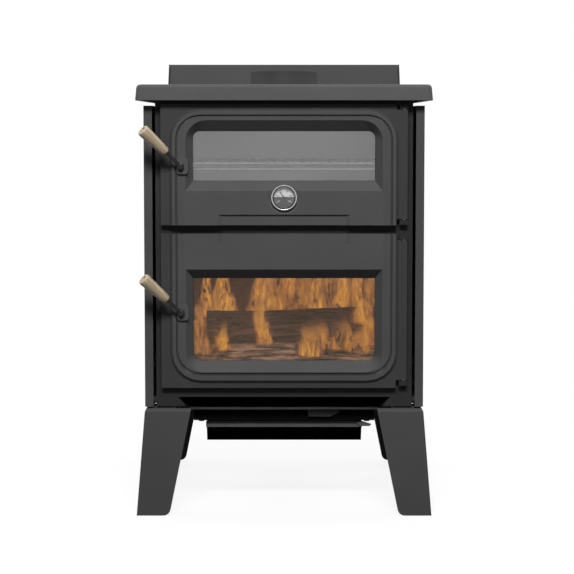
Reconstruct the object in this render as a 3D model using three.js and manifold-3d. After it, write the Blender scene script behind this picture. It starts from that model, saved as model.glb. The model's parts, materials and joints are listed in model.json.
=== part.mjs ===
// A wood cookstove: an oven above a firebox, both behind hinged doors with windows.
// Millimetres, +Z up. The doors face -Y, and Y = 0 is the front face of the body's frame
// until the last group moves the middle of the stove's floor box to the origin.
import * as THREE from 'three';
import { mergeVertices } from 'three/addons/utils/BufferGeometryUtils.js';
import Module from 'manifold-3d';

const wasm = await Module();
wasm.setup();

// ---------------------------------------------------------------- driving sizes

const GAP = 0.3;                     // between pieces that touch
const CORNER_STEPS = 5;              // straight steps in a rounded corner

// legs
const LEG_HEIGHT = 236.5;
const LEG_SHADOW_GAP = 4.5;          // from the leg's top edge to the body
const LEG_THICKNESS = 8;
const LEG_SPLAY = 18.2;              // the foot stands this far outside the leg's top
const LEG_TOP_WIDTH = 102.3;
const LEG_FOOT_WIDTH = 72.2;
const LEG_FRONT_OUTSET = 8.5;        // the front legs stand proud of the body
const LEG_SIDE_OUTSET = 0.3;         // and just outside the side panels
const LEG_TOP_RADIUS = 9;
const LEG_FOOT_RADIUS = 16;
const LEG_FLANGE = 6;
const LEG_FLANGE_WIDTH = 66;
const LEG_BOLT_INSET = 50;           // from the leg's two outer faces

// body shell
const BODY_WIDTH = 567;
const BODY_DEPTH = 545;
const FRAME_THICKNESS = 14;
const WALL = 5;
const BOTTOM_PLATE = 6;
const OPENING_WIDTH = 480;           // of the oven's and the firebox's mouth

// doors, from the bottom of the body upwards
const SILL_HEIGHT = 43;
const FIRE_DOOR_HEIGHT = 342;
const DOOR_SPLIT = 19;               // between the two doors
const OVEN_DOOR_HEIGHT = 265.6;
const SKIRT_CLEARANCE = 7.4;         // from the oven door to the cooktop's skirt
const DOOR_SIDE_MARGIN = 12.5;       // strip of frame seen outside the doors
const DOOR_BORDER = 8.5;             // thickness of the doors' flat border
const DOOR_SEAL_GAP = 5;             // from the border's back to the frame
const PANEL_RISE = 6;                // the raised panel stands proud of the border
const ROPE_WIDTH = 8.4;

// raised panel shared by the two doors, measured inwards from the doors' edges
const RAMP_SIDE_INSET = 19;
const RAMP_TOP_INSET = 9.7;
const RAMP_BOTTOM_INSET = 10.5;
const RAMP_WIDTH = 7;
const RAMP_RADIUS = 67.5;
const RIDGE_WIDTH = 6.7;
const RIDGE_BOTTOM_WIDTH = 9.6;      // the ridge and its groove are wider at the bottom
const GROOVE_WIDTH = 4.3;
const GROOVE_BOTTOM_WIDTH = 7.5;
const GROOVE_DEPTH = 3;
const LEDGE_HALF_LENGTH = 144.6;     // of the sunk ledge across the doors' split
const LEDGE_HEIGHT = 23.3;
const LEDGE_DEPTH = 4;
const LEDGE_END_RAMP = 9;            // its ends run out over this length

// windows
const WINDOW_WIDTH = 401;
const WINDOW_SIDE_BEVEL = 16;
const OVEN_WINDOW_HEIGHT = 108.6;
const OVEN_WINDOW_DROP = 59.6;       // from the door's top to the visible glass
const OVEN_BEVEL_TOP = 24.3;
const OVEN_BEVEL_BOTTOM = 22;
const FIRE_WINDOW_HEIGHT = 183.7;
const FIRE_WINDOW_RISE = 59;         // from the door's bottom to the visible glass
const FIRE_BEVEL_TOP = 21;
const FIRE_BEVEL_BOTTOM = 23;
const WINDOW_OUTER_RADIUS = 46;
const WINDOW_INNER_RADIUS = 15;
const WINDOW_RIM_BACK = 2.5;         // the door's window rim reaches this far behind the frame's face
const GLASS_THICKNESS = 5;
const GLASS_OVERLAP = 7.5;           // glass hidden behind the rim
const RIM_MARGIN = 12;               // rim round the glass, which takes the retainer
const GLASS_GASKET = 1.7;
const RETAINER_SHEET = 2;
const RETAINER_FOOT = 7;             // width of its foot on the window's rim

// hinges at the doors' right-hand corners
const HINGE_INSET = 7;               // axis from the door's edge
const PIN_RADIUS = 3;
const PIN_DEPTH = 18;                // into the door
const LUG_INWARD = 10;               // from the axis towards the door's middle
const LUG_OUTWARD = 8;
const LUG_PROUD = 1;                 // ahead of the door's border
const LUG_HEIGHT = 11;
const LUG_SLOT = 7;                  // open beside the lug, so that the door can swing
const LUG_END_CLEARANCE = 1.5;
const FIRE_LOWER_LUG_RISE = 5;

// latches
const LATCH_INSET = 45;              // shaft from the door's left edge
const OVEN_LATCH_DROP = 135.6;       // shaft below the oven door's top
const FIRE_LATCH_RISE = 169;         // shaft above the firebox door's bottom
const SHAFT_RADIUS = 5;
const BOSS_WIDTH = 25;
const BOSS_HEIGHT = 35;
const BOSS_RISE = 5;
const HUB_RADIUS = 7.5;
const HUB_LENGTH = 9;
const ROD_RADIUS = 4;
const ROD_FREE_LENGTH = 46;
const HANDLE_LEAN = 45;              // degrees from upright, to the left
const HANDLE_TILT = 20;              // degrees out of the door's plane
const GRIP_LENGTH = 74;
const ROD_IN_GRIP = 52;
const GRIP_ROD_END_RADIUS = 10;
const GRIP_FREE_END_RADIUS = 13.5;
const GRIP_BORE_RADIUS = 6.5;
const CAM_LENGTH = 24;
const CAM_THICKNESS = 4.5;
const CAM_HUB_RADIUS = 9;
const CAM_TIP_RADIUS = 5;
const CAM_REST_ANGLE = 100;          // degrees from +X, seen from the front
const KEEPER_LIP = 4;                // frame left in front of the latch pocket
const KEEPER_POCKET = 7;             // depth of the pocket behind the lip

// thermometer in the oven door
const GAUGE_RISE = 61;               // centre above the oven door's bottom
const SEAT_RADIUS = 36;
const SEAT_DEPTH = 3.5;
const BEZEL_RADIUS = 28.2;
const GAUGE_CASE_RADIUS = 24.3;
const GAUGE_CASE_WALL = 2;
const GAUGE_STAND = 5;               // bezel's front ahead of the raised panel
const NEEDLE_LENGTH = 17;
const NEEDLE_REST = 125;             // degrees from +X, seen from the front

// cooktop
const TOP_FRONT_OVERHANG = 33.5;
const TOP_REAR_OVERHANG = 21.5;
const TOP_SIDE_OVERHANG = 16.5;      // beyond the side panels
const SKIRT_WALL = 10;
const SKIRT_DROP = 23;
const TOP_PLATE = 12;
const TOP_EDGE_RADIUS = 8;
const TOP_CORNER_RADIUS = 12;
const TOP_DRAFT = 2.4;               // the skirt leans in by this much on its way up
const TOP_ROPE = 3.4;

// flue collar
const FLUE_RADIUS = 76;
const COLLAR_WALL = 6.5;
const COLLAR_HEIGHT = 42;
const COLLAR_SPIGOT = 18;            // below the cooktop's face
const COLLAR_BEHIND_FRAME = 416.5;

// rear heat shield
const SHIELD_STANDOFF = 26.5;        // from the rear wall to the shield's side flanges
const SHIELD_FLANGE = 20;
const SHEET = 2;
const SHIELD_WIDTH = 593;
const SHIELD_TOP_WIDTH = 587;
const SHIELD_ABOVE_TOP = 65;
const SHIELD_ABOVE_BODY_BOTTOM = 17;
const SPACER_RADIUS = 8;
const SHIELD_SPACER_INSET = 83;      // from the body's sides
const SHIELD_SPACER_END_INSET = 70;  // from the body's bottom and top

// side panels
const PANEL_STANDOFF = 6.5;
const PANEL_DEPTH = 18.5;
const PANEL_FRONT_OUTSET = 5.5;
const PANEL_TOP_DROP = 11;           // below the cooktop's skirt
const PANEL_FOOT_DROP = 0.5;         // below the body's bottom
const PANEL_SPACER_INSET = 40;       // from the panel's front and rear edges
const PANEL_SPACER_END_INSET = 9;    // from its bottom and top

// oven
const OVEN_SHEET = 3;
const OVEN_DEPTH = 436;
const OVEN_FLOOR_RISE = 23;          // above the oven door's bottom
const OVEN_HEIGHT = 220;
const RUNNER_DROP = 132;             // runner's top face below the oven door's top edge
const RUNNER_WIDTH = 13;
const RUNNER_SHEET = 3;
const RUNNER_UPRIGHT = 12;
const RUNNER_END_CLEARANCE = 20;     // from the oven's mouth and its rear wall
const RACK_WIRE = 3;                 // radius of the rack's frame
const RACK_BAR = 2;                  // radius of its bars
const RACK_BARS = 11;
const RACK_PLAY = 12;                // free slide behind the shut door
const RACK_LIP = 13;                 // height of the rack's doubled front wire
const RACK_SIDE_CLEARANCE = 5;
const RACK_REAR_CLEARANCE = 37;      // from the oven's rear wall

// firebox
const FIRE_MOUTH_RISE = 16;          // above the firebox door's bottom
const FIRE_MOUTH_HEIGHT = 300;
const BRICK = 30;
const WALL_BRICK_HEIGHT = 230;
const TUBE_RADIUS = 10;
const TUBE_WALL = 2;
const TUBES = 3;
const TUBE_FRONT_INSET = 30;          // first tube behind the baffle's front edge
const TUBE_SPACING = 130;
const AIR_RAIL_WIDTH = 28;
const AIR_RAIL_HEIGHT = 42;
const AIR_RAIL_WALL = 3;
const BAFFLE = 25;
const BAFFLE_FRONT = 120;            // smoke passes in front of the baffle
const PLUG_RADIUS = 46;
const PLUG_THROAT_RADIUS = 39.5;
const PLUG_BEHIND_FRAME = 266;
const PLUG_RECESS = [13, 28, 14];    // width, length and depth of the two finger recesses
const PLUG_GRIP = 10;                // width of the bar left between them

// under the body
const APRON_DEPTH = 54;
const APRON_RISE = 20.3;             // its top edge above the body's bottom
const APRON_DROP = 11.5;             // its lower edge below the body's bottom
const APRON_TOP_WIDTH = 470;
const APRON_FOOT_WIDTH = 424;
const APRON_SHEET = 3;
const PAN_WIDTH = 408;
const PAN_DROP = 42.5;               // pan's floor below the body's bottom
const PAN_LENGTH = 444;
const PAN_LIP = 5.3;
const CHUTE_HALF = 60;
const CHUTE_BELOW_PAN = 1.5;
const CHUTE_CLEARANCE = 9;           // between the chute and the hole in the pan round it
const BOLT_RADIUS = 4;
const BOLT_HEAD_RADIUS = 7.5;
const BOLT_HEAD = 6;
const PAN_BOLT_HALF_SPACING = 188;   // heads of the bolts that hold the pan
const PAN_BOLT_INSET = 26;           // from the pan's front and rear
const DRAWER_WIDTH = 351;
const DRAWER_HEIGHT = 47.8;
const DRAWER_LENGTH = 331.5;
const DRAWER_FRONT = 66.5;           // behind the frame's face
const DRAWER_BAND = 13.6;            // upright band along the drawer front's top
const DRAWER_DROP = 3.5;             // below the pan
const DRAWER_SLOPE = 21.5;
const DRAWER_PULL = 24;              // reach of the pull ear past the drawer's side
const AIR_TAB_LEFT = 52;
const AIR_TAB_WIDTH = 74;
const AIR_TAB_HEIGHT = 14.5;
const AIR_TRAVEL = 60;
const AIR_TAB_RISE = 9.5;            // above the pan's floor
const AIR_STEM_WIDTH = 10;
const AIR_STEM_HEIGHT = 6;
const AIR_STEM_CLEARANCE = 1.5;
const SHUTTER_WIDTH = 104;
const AIR_SLOT_HALF_GAP = 20;        // half the land between the plate's two air slots
const SHUTTER_INSET = 20;            // behind the pan's front
const SHUTTER_DEPTH = 23;
const AIR_TAB_SLANT = 22;            // slanted corner at the tab's right

// ---------------------------------------------------------------- worked-out places

const bodyHalf = BODY_WIDTH / 2;
const bodyBottom = LEG_HEIGHT + LEG_SHADOW_GAP;
const fireDoorZ = [bodyBottom + SILL_HEIGHT, bodyBottom + SILL_HEIGHT + FIRE_DOOR_HEIGHT];
const ovenDoorZ = [fireDoorZ[1] + DOOR_SPLIT, fireDoorZ[1] + DOOR_SPLIT + OVEN_DOOR_HEIGHT];
const skirtBottom = ovenDoorZ[1] + SKIRT_CLEARANCE;
const plateUnder = skirtBottom + SKIRT_DROP;
const cookingTop = plateUnder + TOP_PLATE;
const bodyTop = plateUnder - TOP_ROPE - 2 * GAP;
const doorHalf = bodyHalf - DOOR_SIDE_MARGIN;
const openingHalf = OPENING_WIDTH / 2;
const panelInner = bodyHalf + PANEL_STANDOFF;
const panelOuter = panelInner + PANEL_DEPTH;
const topHalf = panelOuter + TOP_SIDE_OVERHANG;
const topY = [-TOP_FRONT_OVERHANG, BODY_DEPTH + TOP_REAR_OVERHANG];

const borderBack = -DOOR_SEAL_GAP;
const borderFront = borderBack - DOOR_BORDER;
const panelFront = borderFront - PANEL_RISE;

const ovenMouthZ = [ovenDoorZ[0] + OVEN_FLOOR_RISE, ovenDoorZ[0] + OVEN_FLOOR_RISE + OVEN_HEIGHT];
const fireMouthZ = [fireDoorZ[0] + FIRE_MOUTH_RISE, fireDoorZ[0] + FIRE_MOUTH_RISE + FIRE_MOUTH_HEIGHT];
const ovenGlassZ = [
  ovenDoorZ[1] - OVEN_WINDOW_DROP - OVEN_WINDOW_HEIGHT,
  ovenDoorZ[1] - OVEN_WINDOW_DROP,
];
const fireGlassZ = [
  fireDoorZ[0] + FIRE_WINDOW_RISE,
  fireDoorZ[0] + FIRE_WINDOW_RISE + FIRE_WINDOW_HEIGHT,
];

const hingeX = doorHalf - HINGE_INSET;
const hingeY = (borderFront + borderBack) / 2;
const latchX = -doorHalf + LATCH_INSET;
const ovenLatchZ = ovenDoorZ[1] - OVEN_LATCH_DROP;
const fireLatchZ = fireDoorZ[0] + FIRE_LATCH_RISE;
const camY = [KEEPER_LIP + 1, KEEPER_LIP + 1 + CAM_THICKNESS];

const panBottom = bodyBottom - PAN_DROP;
const apronFoot = bodyBottom - APRON_DROP;
const panHalf = PAN_WIDTH / 2;
const panFront = APRON_DEPTH + 2;
const panRear = panFront + PAN_LENGTH;

// ---------------------------------------------------------------- shapes

// A closed three.js geometry as a solid; triangles that merging flattened are dropped.
function solidOf(geometry) {
  geometry.deleteAttribute('normal');
  geometry.deleteAttribute('uv');
  const merged = mergeVertices(geometry, 1e-4);
  const index = merged.index.array;
  const triangles = [];
  for (let i = 0; i < index.length; i += 3) {
    const [a, b, c] = [index[i], index[i + 1], index[i + 2]];
    if (a !== b && b !== c && c !== a) triangles.push(a, b, c);
  }
  return new wasm.Manifold(new wasm.Mesh({
    numProp: 3,
    vertProperties: new Float32Array(merged.attributes.position.array),
    triVerts: new Uint32Array(triangles),
  }));
}

function geometryOf(solid) {
  const mesh = solid.getMesh();
  const geometry = new THREE.BufferGeometry();
  geometry.setAttribute('position', new THREE.BufferAttribute(mesh.vertProperties, 3));
  geometry.setIndex(new THREE.BufferAttribute(mesh.triVerts, 1));
  geometry.computeVertexNormals();
  return geometry;
}

const join = (...solids) => solids.reduce((all, next) => all.add(next));
const cut = (solid, ...tools) => tools.reduce((left, tool) => left.subtract(tool), solid);
const radians = (degrees) => THREE.MathUtils.degToRad(degrees);

// A box between two limits on each axis, given in either order.
function block(x, y, z) {
  const size = [x, y, z].map(([from, to]) => Math.abs(to - from));
  const middle = [x, y, z].map(([from, to]) => (from + to) / 2);
  return solidOf(new THREE.BoxGeometry(...size).translate(...middle));
}

// The extruded outline's own axes for each direction of extrusion. Along 'y' an outline
// is drawn in X and Z, along 'x' in Y and Z, along 'z' in X and Y.
const EXTRUSION_AXES = {
  x: [[0, 1, 0], [0, 0, 1], [1, 0, 0]],
  y: [[1, 0, 0], [0, 0, 1], [0, -1, 0]],
  z: [[1, 0, 0], [0, 1, 0], [0, 0, 1]],
};

function prism(points, axis, [from, to]) {
  const [low, high] = [Math.min(from, to), Math.max(from, to)];
  const geometry = new THREE.ExtrudeGeometry(
    new THREE.Shape(points),
    { depth: high - low, bevelEnabled: false },
  );
  const basis = EXTRUSION_AXES[axis].map((direction) => new THREE.Vector3(...direction));
  geometry.applyMatrix4(new THREE.Matrix4().makeBasis(...basis));
  const start = axis === 'y' ? -high : low;
  geometry.translate(...basis[2].clone().multiplyScalar(start).toArray());
  return solidOf(geometry);
}

// A round bar along an axis. The centre is given in the two other axes, in X, Y, Z order.
function bar(axis, [from, to], [first, second], radius, sides = 24) {
  const geometry = new THREE.CylinderGeometry(radius, radius, Math.abs(to - from), sides);
  const middle = (from + to) / 2;
  if (axis === 'x') geometry.rotateZ(-Math.PI / 2).translate(middle, first, second);
  if (axis === 'y') geometry.translate(first, middle, second);
  if (axis === 'z') geometry.rotateX(Math.PI / 2).translate(first, second, middle);
  return solidOf(geometry);
}

const tube = (axis, limits, centre, outer, inner, sides = 24) => cut(
  bar(axis, limits, centre, outer, sides),
  bar(axis, [Math.min(...limits) - 1, Math.max(...limits) + 1], centre, inner, sides),
);

// A polygon whose corners [a, b, radius] are rounded by arcs; radius 0 keeps one point.
function outline(corners, steps = CORNER_STEPS) {
  const points = [];
  corners.forEach(([a, b, radius = 0], index) => {
    const here = new THREE.Vector2(a, b);
    if (radius === 0) {
      points.push(here);
      return;
    }
    const last = corners[(index + corners.length - 1) % corners.length];
    const next = corners[(index + 1) % corners.length];
    const back = new THREE.Vector2(last[0], last[1]).sub(here).normalize();
    const ahead = new THREE.Vector2(next[0], next[1]).sub(here).normalize();
    const half = Math.acos(THREE.MathUtils.clamp(back.dot(ahead), -1, 1)) / 2;
    const centre = back.clone().add(ahead).normalize();
    centre.multiplyScalar(radius / Math.sin(half)).add(here);
    const start = back.clone().multiplyScalar(radius / Math.tan(half)).add(here).sub(centre);
    const end = ahead.clone().multiplyScalar(radius / Math.tan(half)).add(here).sub(centre);
    let sweep = end.angle() - start.angle();
    if (sweep > Math.PI) sweep -= 2 * Math.PI;
    if (sweep < -Math.PI) sweep += 2 * Math.PI;
    for (let step = 0; step <= steps; step += 1) {
      const turned = start.clone().rotateAround(new THREE.Vector2(), (sweep * step) / steps);
      points.push(turned.add(centre));
    }
  });
  return points;
}

// A rectangle with radii in the order lower left, lower right, upper right, upper left.
function rounded([left, right], [low, high], radii) {
  const [lowLeft, lowRight, highRight, highLeft] = Array.isArray(radii) ? radii : Array(4).fill(radii);
  return outline([
    [left, low, lowLeft],
    [right, low, lowRight],
    [right, high, highRight],
    [left, high, highLeft],
  ]);
}

const onY = (points, y) => points.map(({ x, y: up }) => new THREE.Vector3(x, y, up));
const onZ = (points, z) => points.map(({ x, y }) => new THREE.Vector3(x, y, z));

// A solid through a row of convex rings that have the same number of points.
function loft(rings) {
  const count = rings[0].length;
  const positions = rings.flat().flatMap((point) => point.toArray());
  const triangles = [];
  for (let ring = 0; ring < rings.length - 1; ring += 1) {
    for (let i = 0; i < count; i += 1) {
      const here = ring * count + i;
      const beside = ring * count + ((i + 1) % count);
      triangles.push([here, beside, beside + count], [here, beside + count, here + count]);
    }
  }
  const lastRing = (rings.length - 1) * count;
  for (let i = 1; i < count - 1; i += 1) {
    triangles.push([0, i + 1, i], [lastRing, lastRing + i, lastRing + i + 1]);
  }
  const corner = (index) => new THREE.Vector3().fromArray(positions, 3 * index);
  const volume = triangles.reduce((sum, [a, b, c]) => sum + corner(a).dot(corner(b).cross(corner(c))), 0);
  const facing = volume > 0 ? triangles : triangles.map(([a, b, c]) => [a, c, b]);
  const geometry = new THREE.BufferGeometry();
  geometry.setAttribute('position', new THREE.Float32BufferAttribute(positions, 3));
  geometry.setIndex(facing.flat());
  return solidOf(geometry);
}

// A turned piece: the profile's [radius, height] points lie along a direction from a base.
function turned(profile, base, direction, sides = 24) {
  const points = profile.map(([radius, height]) => new THREE.Vector2(radius, height));
  const geometry = new THREE.LatheGeometry(points, sides);
  const turn = new THREE.Quaternion().setFromUnitVectors(new THREE.Vector3(0, 1, 0), direction);
  geometry.applyQuaternion(turn).translate(...base.toArray());
  return solidOf(geometry);
}

// ---------------------------------------------------------------- finishes

const finish = (color, roughness, metalness, extra = {}) => new THREE.MeshStandardMaterial({
  color, roughness, metalness, flatShading: true, ...extra,
});
const BLACK_STEEL = finish('#4c4c4d', 0.55, 0.3);
const CAST_IRON = finish('#515152', 0.6, 0.3);
const DARK_STEEL = finish('#232323', 0.6, 0.4);
const OVEN_STEEL = finish('#8f8f90', 0.4, 0.8);
const BRIGHT_STEEL = finish('#c9c9ca', 0.25, 1);
const ROD_STEEL = finish('#2c2c2d', 0.4, 0.8);
const ROPE_FIBRE = finish('#7d7a73', 0.95, 0);
const FIRE_BRICK = finish('#8a6a50', 0.95, 0);
const BAFFLE_BOARD = finish('#b8ab93', 0.95, 0);
const TURNED_WOOD = finish('#b39c7c', 0.5, 0);
const WINDOW_GLASS = finish('#d8dcda', 0.05, 0, { transparent: true, opacity: 0.3 });
const DIAL_FACE = finish('#a5a5a3', 0.6, 0);
const NEEDLE_RED = finish('#b02a1c', 0.5, 0);

// ---------------------------------------------------------------- the stove

const stove = new THREE.Group();
const assembly = new THREE.Group();
stove.add(assembly);

function piece(name, solid, material) {
  const mesh = new THREE.Mesh(geometryOf(solid), material);
  mesh.name = name;
  assembly.add(mesh);
  return solid;
}

// Front frame: one plate with the two mouths, the apron's notch and two latch pockets.
function frontFrame() {
  const across = [-bodyHalf, bodyHalf];
  const mouth = [-openingHalf, openingHalf];
  const through = [-1, FRAME_THICKNESS + 1];
  const plate = block(across, [0, FRAME_THICKNESS], [bodyBottom, bodyTop]);
  const pocketReach = latchX - CAM_LENGTH - CAM_TIP_RADIUS - 2;
  const pockets = [ovenLatchZ, fireLatchZ].map((z) => block(
    [pocketReach, -openingHalf + 1],
    [KEEPER_LIP, KEEPER_LIP + KEEPER_POCKET],
    [z - 2 * CAM_TIP_RADIUS, z + CAM_LENGTH + 2 * CAM_TIP_RADIUS],
  ));
  return cut(
    plate,
    block(mouth, through, ovenMouthZ),
    block(mouth, through, fireMouthZ),
    apronWedge(GAP, -1),
    apronMouth(),
    ...pockets,
  );
}

// The apron's outer form, a flared wedge that narrows downwards, grown by a clearance.
function apronWedge(grow, frontY) {
  const top = bodyBottom + APRON_RISE + grow;
  const topHalfWidth = APRON_TOP_WIDTH / 2 + grow;
  const footHalfWidth = APRON_FOOT_WIDTH / 2 + grow;
  const back = APRON_DEPTH + 4 + grow;
  const ring = (halfWidth, front, z) => onZ(outline([
    [-halfWidth, front], [halfWidth, front], [halfWidth, back], [-halfWidth, back],
  ]), z);
  return loft([ring(footHalfWidth, APRON_DEPTH - grow, apronFoot), ring(topHalfWidth, frontY, top)]);
}

// The frame is open below the apron's upper edge, as wide as the apron at each height.
function apronMouth() {
  const top = bodyBottom + APRON_RISE + GAP;
  const low = bodyBottom - 1;
  const flare = (APRON_TOP_WIDTH - APRON_FOOT_WIDTH) / 2 / (APRON_RISE + APRON_DROP);
  const topHalfWidth = APRON_TOP_WIDTH / 2 + GAP;
  const lowHalfWidth = topHalfWidth - flare * (top - low);
  return prism(outline([
    [-topHalfWidth, top], [topHalfWidth, top], [lowHalfWidth, low], [-lowHalfWidth, low],
  ]), 'y', [-1, FRAME_THICKNESS + 1]);
}

// Cast lugs on the frame's face carry the doors' pins, two for each door.
const ovenLugs = [ovenDoorZ[0] + 1, ovenDoorZ[1] - LUG_HEIGHT];
const fireLugs = [fireDoorZ[0] + FIRE_LOWER_LUG_RISE, fireDoorZ[1] - 2 - LUG_HEIGHT];
const hingeLugs = cut(
  join(...[...ovenLugs, ...fireLugs].map((z) => block(
    [hingeX - LUG_INWARD, hingeX + LUG_OUTWARD],
    [borderFront - LUG_PROUD, 1],
    [z, z + LUG_HEIGHT],
  ))),
  bar('z', [bodyBottom, bodyTop], [hingeX, hingeY], PIN_RADIUS + GAP, 16),
);
piece('front_frame', join(frontFrame(), hingeLugs), CAST_IRON);

for (const [name, side] of [['left_side_wall', -1], ['right_side_wall', 1]]) {
  piece(name, block(
    [side * (bodyHalf - WALL), side * bodyHalf],
    [FRAME_THICKNESS + GAP, BODY_DEPTH],
    [bodyBottom, bodyTop],
  ), BLACK_STEEL);
}

const insideHalf = bodyHalf - WALL - GAP;
const insideFront = FRAME_THICKNESS + GAP;
const insideRear = BODY_DEPTH - WALL - GAP;
piece('rear_wall', block(
  [-insideHalf, insideHalf],
  [BODY_DEPTH - WALL, BODY_DEPTH],
  [bodyBottom + BOTTOM_PLATE + GAP, bodyTop],
), BLACK_STEEL);

// Bolt places under the body: one in each leg's flange.
const legOuterX = panelOuter + LEG_SIDE_OUTSET;
const legOuterY = { front: -LEG_FRONT_OUTSET, rear: BODY_DEPTH };
const legBoltPlaces = [];
for (const side of [-1, 1]) {
  for (const [end, inward] of [[legOuterY.front, 1], [legOuterY.rear, -1]]) {
    legBoltPlaces.push([side * (legOuterX - LEG_BOLT_INSET), end + inward * LEG_BOLT_INSET]);
  }
}
const boltHoles = (places, limits) => places.map((place) => bar('z', limits, place, BOLT_RADIUS + GAP, 12));

// Bottom plate: ash hole with its chute, two air slots and the shutter's guides on its underside.
const chuteY = [PLUG_BEHIND_FRAME - CHUTE_HALF, PLUG_BEHIND_FRAME + CHUTE_HALF];
const shutterMiddle = AIR_TAB_LEFT;
const shutterY = [panFront + SHUTTER_INSET, panFront + SHUTTER_INSET + SHUTTER_DEPTH];
const shutterZ = [bodyBottom - 6.5, bodyBottom - 3.5];
function bottomPlate() {
  const through = [bodyBottom - 1, bodyBottom + BOTTOM_PLATE + 1];
  const plate = block(
    [-insideHalf, insideHalf],
    [insideFront, insideRear],
    [bodyBottom, bodyBottom + BOTTOM_PLATE],
  );
  const frontNotch = block(
    [-APRON_TOP_WIDTH / 2 - 3, APRON_TOP_WIDTH / 2 + 3],
    [insideFront - 1, APRON_DEPTH + 6],
    through,
  );
  const slots = [-1, 1].map((half) => block(
    [shutterMiddle + half * AIR_SLOT_HALF_GAP, shutterMiddle + half * (SHUTTER_WIDTH / 2 - 6)],
    [shutterY[0] + 6, shutterY[1] - 6],
    through,
  ));
  const guideX = [
    shutterMiddle - SHUTTER_WIDTH / 2 - AIR_TRAVEL,
    shutterMiddle + SHUTTER_WIDTH / 2 + SHUTTER_INSET,
  ];
  const guides = [[shutterY[0], -1], [shutterY[1], 1]].flatMap(([edge, outward]) => [
    block(guideX, [edge + outward * GAP, edge + outward * 5], [shutterZ[0] - 3, bodyBottom + 1]),
    block(guideX, [edge - outward * 4, edge + outward * 5], [shutterZ[0] - 3, shutterZ[0] - GAP]),
  ]);
  const chuteZ = [panBottom - CHUTE_BELOW_PAN, bodyBottom + 1];
  const chute = cut(
    block([-CHUTE_HALF, CHUTE_HALF], chuteY, chuteZ),
    block(
      [-CHUTE_HALF + SHEET, CHUTE_HALF - SHEET],
      [chuteY[0] + SHEET, chuteY[1] - SHEET],
      [chuteZ[0] - 1, chuteZ[1] + 1],
    ),
  );
  return join(
    cut(
      plate,
      frontNotch,
      bar('z', through, [0, PLUG_BEHIND_FRAME], PLUG_THROAT_RADIUS + 2 * GAP, 32),
      ...slots,
      ...boltHoles(legBoltPlaces, through),
    ),
    ...guides,
    chute,
  );
}
piece('bottom_plate', bottomPlate(), BLACK_STEEL);

const fluePlace = [0, COLLAR_BEHIND_FRAME];
const spigotRadius = FLUE_RADIUS + COLLAR_WALL / 2;

// Cooktop: a plate with a drafted skirt, its top edge rounded in four steps.
function cooktop() {
  const rings = [];
  const ring = (inset, z) => onZ(rounded(
    [-topHalf + inset, topHalf - inset],
    [topY[0] + inset, topY[1] - inset],
    TOP_CORNER_RADIUS,
  ), z);
  rings.push(ring(0, skirtBottom));
  const edgeSteps = 4;
  for (let step = 0; step <= edgeSteps; step += 1) {
    const angle = (Math.PI / 2) * (step / edgeSteps);
    rings.push(ring(
      TOP_DRAFT + TOP_EDGE_RADIUS * (1 - Math.cos(angle)),
      cookingTop - TOP_EDGE_RADIUS * (1 - Math.sin(angle)),
    ));
  }
  const hollow = prism(rounded(
    [-topHalf + SKIRT_WALL, topHalf - SKIRT_WALL],
    [topY[0] + SKIRT_WALL, topY[1] - SKIRT_WALL],
    TOP_CORNER_RADIUS - 4,
  ), 'z', [skirtBottom - 1, plateUnder]);
  const flueHole = bar('z', [plateUnder - 1, cookingTop + 1], fluePlace, spigotRadius + GAP, 48);
  return cut(loft(rings), hollow, flueHole);
}
piece('cooktop', cooktop(), CAST_IRON);

piece('cooktop_rope', cut(
  block([-bodyHalf, bodyHalf], [0, BODY_DEPTH], [bodyTop + GAP, plateUnder - GAP]),
  block([-bodyHalf + 9, bodyHalf - 9], [9, BODY_DEPTH - 9], [bodyTop, plateUnder]),
), ROPE_FIBRE);

// Flue collar: an upright ring that sits on the cooktop, with a spigot down its hole.
const collarTop = cookingTop + COLLAR_HEIGHT;
piece('flue_collar', cut(
  join(
    bar('z', [cookingTop + GAP, collarTop], fluePlace, FLUE_RADIUS + COLLAR_WALL, 48),
    bar('z', [cookingTop - COLLAR_SPIGOT, cookingTop + 1], fluePlace, spigotRadius, 48),
  ),
  bar('z', [cookingTop - COLLAR_SPIGOT - 1, collarTop + 1], fluePlace, FLUE_RADIUS, 48),
), CAST_IRON);

// Rear heat shield: a sheet with side flanges turned towards the body, which it stands
// off by six welded spacers.
const shieldY = [BODY_DEPTH + SHIELD_STANDOFF, BODY_DEPTH + SHIELD_STANDOFF + SHIELD_FLANGE];
const shieldZ = [bodyBottom + SHIELD_ABOVE_BODY_BOTTOM, cookingTop + SHIELD_ABOVE_TOP];
function rearShield() {
  const form = (inset, y, extra) => prism(outline([
    [-SHIELD_WIDTH / 2 + inset, shieldZ[0] - extra],
    [SHIELD_WIDTH / 2 - inset, shieldZ[0] - extra],
    [SHIELD_WIDTH / 2 - inset, cookingTop],
    [SHIELD_TOP_WIDTH / 2 - inset, shieldZ[1] + extra],
    [-SHIELD_TOP_WIDTH / 2 + inset, shieldZ[1] + extra],
    [-SHIELD_WIDTH / 2 + inset, cookingTop],
  ]), 'y', y);
  const spacerHeights = [
    bodyBottom + SHIELD_SPACER_END_INSET,
    (bodyBottom + bodyTop) / 2,
    bodyTop - SHIELD_SPACER_END_INSET,
  ];
  const spacers = [-1, 1].flatMap((side) => spacerHeights.map((z) => bar(
    'y',
    [BODY_DEPTH + GAP, shieldY[1] - 1],
    [side * (bodyHalf - SHIELD_SPACER_INSET), z],
    SPACER_RADIUS,
    12,
  )));
  return join(
    cut(form(0, shieldY, 0), form(SHEET, [shieldY[0] - 1, shieldY[1] - SHEET], 1)),
    ...spacers,
  );
}
piece('rear_heat_shield', rearShield(), BLACK_STEEL);

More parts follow.
